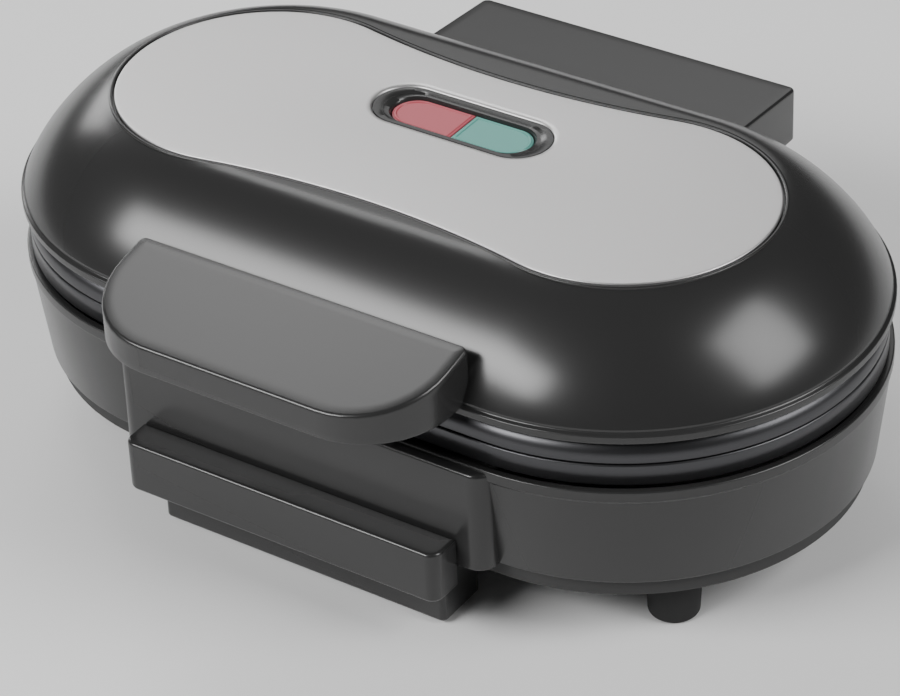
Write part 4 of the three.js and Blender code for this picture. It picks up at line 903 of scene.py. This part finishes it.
class DONUTMAKER_OT_base(bpy.types.Operator):
    """Base: tapered wall with a rim lip, the flat pad at its front, and the rear block with two knuckles"""

    bl_idname = "donut_maker.base"
    bl_label = "Base"

    def execute(self, context):
        edge = context.scene.donut_maker_sizes.edge
        shape = self.wall().add(self.pad(edge))
        for block in self.rear_block(edge):
            shape.add(block)
        foot = HINGE_Z - KNUCKLE - 3 * MM
        reach = KNUCKLE * math.sqrt(0.5)
        for side in (-1, 1):
            stem = [(HINGE_Y - 2.3 * KNUCKLE, foot), (BLOCK_STEP, foot), (BLOCK_STEP, HINGE_Z),
                    (HINGE_Y - reach, HINGE_Z + reach)]
            shape.add(knuckle(side, BASE_KNUCKLE, stem))
        shape.piece("base_shell", "base", "gloss_black", "lower_housing")
        return {"FINISHED"}

    def wall(self):
        """The racetrack wall as one closed surface: from its inner flange out, up to the rim, down inside."""
        step = BASE_RIM - 4 * MM
        flange = BASE_TAPER + WALL + 8 * MM
        line = rounded_line([
            (flange, BASE_BOTTOM, 0), (BASE_TAPER, BASE_BOTTOM, 0.8 * MM), (0.5 * MM, step, 0.6 * MM),
            (0, step + 0.7 * MM, 0.3 * MM), (0, BASE_RIM, 0.5 * MM), (WALL, BASE_RIM, 0.4 * MM),
            (WALL, step, 0), (BASE_TAPER + WALL, BASE_BOTTOM + WALL, 0.5 * MM),
            (flange, BASE_BOTTOM + WALL, 0),
        ], 5)
        return Shape().grid(rings(lambda inset: racetrack(RIM - inset), line), loop=True)

    def pad(self, edge):
        """The flat-fronted pad behind the lower handle, with a round edge at its top and ends."""
        top = BASE_RIM - 1 * MM

        def plan(inset):
            return rounded_box(PAD_HALF, PAD_FRONT, 8 * MM - RIM, 6 * MM, 0, inset)

        line = rounded_line([(4 * edge, top, 0), (0, top, 1.5 * edge), (0, BASE_BOTTOM, 0.8 * MM),
                             (4 * MM, BASE_BOTTOM, 0)], 6)
        return Shape().grid(rings(plan, line), first=True, last=True)

    def rear_block(self, edge):
        """The block under the hinge: a hollow lower part whose top slopes as the lid's block needs to swing
        past, and a higher part in front of the hinge axis."""
        low_top = HINGE_Z - SWEEP
        lift = (SWEEP - math.sqrt(SWEEP ** 2 - (REAR - HINGE_Y) ** 2)) / (REAR - HINGE_Y)
        front = RIM - 6 * MM
        slope = 4 * MM

        def plan(inset):
            return rounded_box(BLOCK_HALF, front, REAR, 0, BLOCK_CORNER, inset)

        def level(xy, height):
            share = np.clip((height - low_top + slope) / slope, 0, 1)
            return height + share * lift * np.maximum(xy[:, 1] - BLOCK_STEP, 0)

        def clamp(rows):
            under = rows[:, :, 2] < BASE_BOTTOM
            rows[:, :, 1] = np.where(under, np.maximum(rows[:, :, 1], COVER + FIT), rows[:, :, 1])
            return rows

        line = rounded_line([(4 * edge, low_top, 0), (0, low_top, edge), (0, BASE_BOTTOM, 0)], 6)
        yield open_block(plan, line, level, clamp, FLOOR_GAP, WALL)

        def upper_plan(inset):
            return rounded_box(BLOCK_HALF, front, BLOCK_STEP, 0, 0, inset)

        high_top = HINGE_Z - KNUCKLE - SWING_ROOM
        line = rounded_line([(4 * edge, high_top, 0), (0, high_top, 0.6 * edge), (0, low_top - 2 * MM, 0)], 5)
        yield Shape().grid(rings(upper_plan, line), first=True, last=True)


class DONUTMAKER_OT_lower_handle(bpy.types.Operator):
    """Lower handle: the front grip with its rounded edges, and the support bar under it"""

    bl_idname = "donut_maker.lower_handle"
    bl_label = "Lower handle"

    def execute(self, context):
        edge = context.scene.donut_maker_sizes.edge
        low = GRIP_HIGH[2] - GRIP_HEIGHT

        def grip(inset):
            return rounded_box(GRIP_HIGH[0], GRIP_LOW[1], GRIP_BACK, 4 * MM, 0, inset)

        line = rounded_line([(4 * edge, GRIP_HIGH[2], 0), (0, GRIP_HIGH[2], 1.2 * edge), (0, low, 1.2 * edge),
                             (4 * edge, low, 0)], 6)
        shape = Shape().grid(rings(grip, line), first=True, last=True)

        def bar(inset):
            return rounded_box(BAR_HALF, -BAR_FRONT, BAR_DEPTH - BAR_FRONT, 2 * MM, 2 * MM, inset)

        top = COVER_LOW[2] - 0.6 * MM
        line = rounded_line([(1.8 * MM, top, 0), (0, top, 0.5 * MM), (0, FLOOR_GAP, 1.2 * MM),
                             (1.8 * MM, FLOOR_GAP, 0)], 5)
        shape.add(Shape().grid(rings(bar, line), first=True, last=True))

        def bracket(inset):
            return rounded_box(BAR_HALF, -BAR_FRONT - WALL, GRIP_BACK, 0.5 * MM, 0, inset)

        line = [(0, low + 1 * MM), (0, low - WALL)]
        shape.add(Shape().grid(rings(bracket, line), first=True, last=True))
        shape.piece("base_handle", "base", "gloss_black", "lower_handle")
        return {"FINISHED"}


class DONUTMAKER_OT_bottom_cover(bpy.types.Operator):
    """Bottom cover: a shallow tray with vent slots and sunk screw seats"""

    bl_idname = "donut_maker.bottom_cover"
    bl_label = "Bottom cover"

    def execute(self, context):
        edge = 1.0 * MM
        floor = COVER_LOW[2]
        slots = [racetrack(1.5 * MM, 11.5 * MM, (0, side * (MOULD_ROW - 4 * MM) + i * 8 * MM))[::4]
                 for side in (-1, 1) for i in (-1, 0, 1)]
        seats = [(s.x, s.y) for s in map(centre_of, COVER_SCREWS)]
        seat = 3.5 * MM
        holes = [circle(seat, x, y, 24) for x, y in seats]
        shape = Shape().fill([racetrack(COVER - edge), *slots, *holes], floor)
        shape.fill([racetrack(COVER - WALL), *slots], floor + WALL)
        for slot in slots:
            shape.grid(np.vstack([flat_row(slot, floor), flat_row(slot, floor + WALL)]))
        for x, y in seats:
            cup = turned([(seat, 0), (seat, 2.2 * MM)], 24)
            shape.add(Shape().grid(cup, last=True).place(Matrix.Translation((x, y, floor))))
        turn = np.linspace(0, np.pi / 2, 6)
        rim = [(edge * (1 - math.sin(a)), floor + edge * (1 - math.cos(a))) for a in turn]
        rim += [(0, BAND_TOP), (WALL, BAND_TOP), (WALL, floor + WALL)]
        shape.grid(rings(lambda inset: racetrack(COVER - inset), rim))
        shape.piece("bottom_tray", "base", "satin_black", "bottom_cover")
        return {"FINISHED"}


class DONUTMAKER_OT_feet(bpy.types.Operator):
    """Feet: four rubber pegs, slightly tapered, with a rounded lower edge and a dimple below"""

    bl_idname = "donut_maker.feet"
    bl_label = "Feet"

    def execute(self, context):
        for node in FEET:
            low, high = corners(node)
            radius = (high[0] - low[0]) / 2
            top = COVER_LOW[2] - 0.2 * MM
            neck = 3.4 * MM
            line = rounded_line([
                (3 * MM, 1 * MM, 0), (3.6 * MM, 0, 0.4 * MM), (radius - 0.9 * MM, 0, 1.6 * MM),
                (radius, top, 0.4 * MM), (neck, top, 0), (neck, top + 2.9 * MM, 0),
                (4.6 * MM, top + 3.1 * MM, 0.3 * MM), (2.8 * MM, high[2], 0),
            ], 5)
            middle = centre_of(node)
            shape = Shape().grid(turned(line), first=True, last=True)
            shape.place(Matrix.Translation((middle.x, middle.y, 0)))
            shape.piece(node.replace("foot", "rubber_foot"), "base", "rubber", node)
        return {"FINISHED"}


def screw(head, shank, length):
    """A pan-head screw pointing down from the top of its head at height 0. The head's height falls away from
    its middle as a circle does, and a cross recess is pressed into it: the recess is the nearer of two slots,
    deepest in the middle."""
    height = 1.5 * MM
    radii = np.concatenate([np.linspace(0.04, 0.6, 15), np.linspace(0.64, 0.92, 6), [0.98, 1.0]]) * head
    angle = np.linspace(0, 2 * np.pi, 64, endpoint=False)
    r, a = np.meshgrid(radii, angle, indexing="ij")
    x, y = r * np.cos(a), r * np.sin(a)
    crown = -0.55 * MM * (r / head) ** 3
    across = np.minimum(np.abs(x), np.abs(y)) / (0.13 * head)
    along = r / (0.62 * head)
    recess = np.clip(1.15 - across ** 4, 0, 1) * np.clip(1.3 * (1 - along), 0, 1)
    top = np.stack([x, y, crown - 0.9 * MM * recess], axis=-1)[::-1]
    body = turned([(head, -height), (shank, -height), (shank, -length + shank), (0.2 * shank, -length)], 64)
    pole = top[-1:] * (0, 0, 1)
    return np.vstack([body[::-1], top, pole])


class DONUTMAKER_OT_fasteners(bpy.types.Operator):
    """Fasteners: cross-recess screws in the cooking plates and the bottom cover, and the hinge pins"""

    bl_idname = "donut_maker.fasteners"
    bl_label = "Fasteners"

    def execute(self, context):
        for node in PLATE_SCREWS + COVER_SCREWS:
            low, high = corners(node)
            body = "lid" if node.startswith("upper") else "base"
            head = (high[0] - low[0]) / 2
            down = node.startswith("lower")
            shape = Shape().grid(screw(head, head / 2, high[2] - low[2]), first=True)
            turn = Matrix.Rotation(0.4 * int(node[-1]), 4, "Z")
            if not down:
                turn = Matrix.Rotation(math.pi, 4, "X") @ turn
            middle = centre_of(node)
            end = high[2] if down else low[2]
            shape.place(Matrix.Translation((middle.x, middle.y, end)) @ turn)
            shape.piece(node.replace("screw", "fastener"), body, "fastener_steel", node, merge=0.0005 * MM)
        for side in ("left", "right"):
            self.pin(f"hinge_pin_{side}", 1 if side == "right" else -1)
        return {"FINISHED"}

    def pin(self, node, side):
        """A hinge pin along X: a smooth shank, and a domed head on its outer end."""
        low, high = corners(node)
        length = high[0] - low[0]
        head = (high[1] - low[1]) / 2
        line = rounded_line([(0.5 * MM, 0, 0), (2 * MM, 0.4 * MM, 0.2 * MM), (2 * MM, length - 1.6 * MM, 0),
                             (head, length - 1.6 * MM, 0.2 * MM), (head, length - 0.5 * MM, 0.4 * MM),
                             (0.5 * MM, length, 0)], 3)
        shape = Shape().grid(turned(line, 32), first=True, last=True)
        inner = low[0] if side > 0 else high[0]
        turn = Matrix.Rotation(side * math.pi / 2, 4, "Y")
        shape.place(Matrix.Translation((inner, HINGE_Y, HINGE_Z)) @ turn)
        shape.piece(node.replace("pin", "dowel"), "base", "fastener_steel", node)


class DONUTMAKER_OT_mains_inlet(bpy.types.Operator):
    """Mains inlet: the rubber gland in the rear block, with its ribbed flange and lead bore"""

    bl_idname = "donut_maker.mains_inlet"
    bl_label = "Mains inlet"

    def execute(self, context):
        low, high = corners("mains_inlet_gland")
        middle = centre_of("mains_inlet_gland")
        radius = (high[0] - low[0]) / 2
        depth = high[1] - low[1]
        bore, body = 3.6 * MM, 6 * MM
        flange, groove, soft = depth - 1 * MM, depth - 0.4 * MM, 0.2 * MM
        line = rounded_line([
            (bore, 0, 0), (body, 0, 0.5 * MM), (body, flange, 0), (radius, flange, soft),
            (radius, depth, 0.4 * MM), (radius - 1.5 * MM, depth, soft), (radius - 1.8 * MM, groove, soft),
            (radius - 2.6 * MM, groove, soft), (radius - 2.9 * MM, depth, soft), (bore, depth, 0.3 * MM),
            (bore, 0.2 * MM, 0),
        ], 3)
        shape = Shape().grid(turned(line), loop=True)
        shape.place(Matrix.Translation((middle.x, low[1], middle.z)) @ Matrix.Rotation(-math.pi / 2, 4, "X"))
        shape.piece("inlet_gland", "base", "rubber", "mains_inlet_gland")
        return {"FINISHED"}


class DONUTMAKER_OT_inner_parts(bpy.types.Operator):
    """Inner parts: finishes for the frame's own pieces that stay in sight of nothing but an open casing"""

    bl_idname = "donut_maker.inner_parts"
    bl_label = "Inner parts"

    def execute(self, context):
        slots = {part["node"]: part["material_slot"] for part in frame["record"]["subparts"]}
        for name, node in frame["nodes"].items():
            if node.hide_render:
                continue
            node.data.materials.clear()
            node.data.materials.append(finish(slots[name]))
        return {"FINISHED"}


# ------------------------------------------------------------------ stage


def softbox(name, place, width, height, power):
    """A rectangular studio light at a place, aimed at the object's middle: metres and watts."""
    data = bpy.data.lights.new(name, "AREA")
    data.shape = "RECTANGLE"
    data.size, data.size_y = width, height
    data.energy = power
    lamp = bpy.data.objects.new(name, data)
    lamp.location = place
    aim = Vector((0, 0, 0.1)) - Vector(place)
    lamp.rotation_euler = aim.to_track_quat("-Z", "Y").to_euler()
    bpy.context.scene.collection.objects.link(lamp)


class DONUTMAKER_OT_stage(bpy.types.Operator):
    """Stage: pale floor, soft studio light, and the camera above the front right corner"""

    bl_idname = "donut_maker.stage"
    bl_label = "Stage"

    def execute(self, context):
        self.camera()
        self.floor()
        self.world()
        self.lights()
        return {"FINISHED"}

    def camera(self):
        """A long lens looking down over the right front: azimuth, height and roll about the lid's middle."""
        azimuth, height, roll = math.radians(35.05), math.radians(34.31), math.radians(-2.53)
        distance, aside, above = 1.07619, 0.00215, -0.06282
        back = Vector((math.sin(azimuth) * math.cos(height), -math.cos(azimuth) * math.cos(height),
                       math.sin(height)))
        right = Vector((math.cos(azimuth), math.sin(azimuth), 0))
        up = back.cross(right)
        across = right * math.cos(roll) + up * math.sin(roll)
        along = up * math.cos(roll) - right * math.sin(roll)
        data = bpy.data.cameras.new("camera")
        data.sensor_width = 36
        data.lens = 145.33
        data.clip_start = 0.05
        camera = bpy.data.objects.new("camera", data)
        place = back * distance + across * aside + along * above + Vector((0, 0, TOP))
        camera.matrix_world = Matrix.Translation(place) @ Matrix((across, along, back)).transposed().to_4x4()
        bpy.context.scene.collection.objects.link(camera)
        bpy.context.scene.camera = camera

    def floor(self):
        """A wide pale floor."""
        square = [(x * FLOOR_HALF, y * FLOOR_HALF, 0) for x, y in ((-1, -1), (1, -1), (1, 1), (-1, 1))]
        mesh = bpy.data.meshes.new("floor")
        mesh.from_pydata(square, [], [(0, 1, 2, 3)])
        floor = bpy.data.objects.new("floor", mesh)
        bpy.context.scene.collection.objects.link(floor)
        made = Finish("floor", Roughness=0.6, IOR=1.3)
        pale = tuple(bpy.context.scene.donut_maker_colours.floor)
        made.feed(Base_Color=made.mix(made.noise(6, 3), pale, shaded(pale, 0.985)))
        mesh.materials.append(made.material)

    def world(self):
        """Dim even light from all round."""
        world = bpy.data.worlds.new("studio")
        world.use_nodes = True
        sky = world.node_tree.nodes["Background"]
        sky.inputs["Color"].default_value = (1, 1, 1, 1)
        sky.inputs["Strength"].default_value = AMBIENT
        bpy.context.scene.world = world

    def lights(self):
        """Softboxes round the object: two behind its left, one above the other, then front left, right, and
        low at the left."""
        softbox("overhead", (-0.95, 0.77, 1.59), 0.75, 0.6, 6)
        softbox("behind", (-0.9, 1.2, 1.1), 1.5, 0.9, 5)
        softbox("front", (-0.75, -1.45, 1.25), 1.4, 0.55, 42)
        softbox("right", (1.60, 0.36, 1.30), 1.0, 1.1, 30)
        softbox("left", (-1.7, 0.8, 0.75), 0.9, 0.5, 9)


# ------------------------------------------------------------------ panel and start

OPERATORS = (
    DONUTMAKER_OT_stage, DONUTMAKER_OT_lid, DONUTMAKER_OT_steel_plate, DONUTMAKER_OT_lamp_window,
    DONUTMAKER_OT_upper_handle, DONUTMAKER_OT_cooking_plates, DONUTMAKER_OT_base, DONUTMAKER_OT_lower_handle,
    DONUTMAKER_OT_bottom_cover, DONUTMAKER_OT_feet, DONUTMAKER_OT_fasteners, DONUTMAKER_OT_mains_inlet,
    DONUTMAKER_OT_inner_parts,
)


class DONUTMAKER_PT_panel(bpy.types.Panel):
    """Lists the pieces, the sizes and the colours in the sidebar"""

    bl_idname = "DONUTMAKER_PT_panel"
    bl_label = "Donut Maker"
    bl_space_type = "VIEW_3D"
    bl_region_type = "UI"
    bl_category = "Donut Maker"

    def draw(self, context):
        for operator in OPERATORS:
            self.layout.operator(operator.bl_idname)
        for group in (context.scene.donut_maker_sizes, context.scene.donut_maker_colours):
            for name in group.bl_rna.properties.keys():
                if name not in ("rna_type", "name"):
                    self.layout.prop(group, name)


CLASSES = (DonutMakerSizes, DonutMakerColours, *OPERATORS, DONUTMAKER_PT_panel)


def register():
    """Registers the classes and puts the two groups on the scene."""
    for each in CLASSES:
        bpy.utils.register_class(each)
    bpy.types.Scene.donut_maker_sizes = PointerProperty(type=DonutMakerSizes)
    bpy.types.Scene.donut_maker_colours = PointerProperty(type=DonutMakerColours)


def unregister():
    """Takes them away again."""
    del bpy.types.Scene.donut_maker_sizes
    del bpy.types.Scene.donut_maker_colours
    for each in reversed(CLASSES):
        bpy.utils.unregister_class(each)


def main():
    """Builds everything."""
    register()
    for operator in OPERATORS:
        group, name = operator.bl_idname.split(".")
        getattr(getattr(bpy.ops, group), name)()


if __name__ == "__main__":
    main()
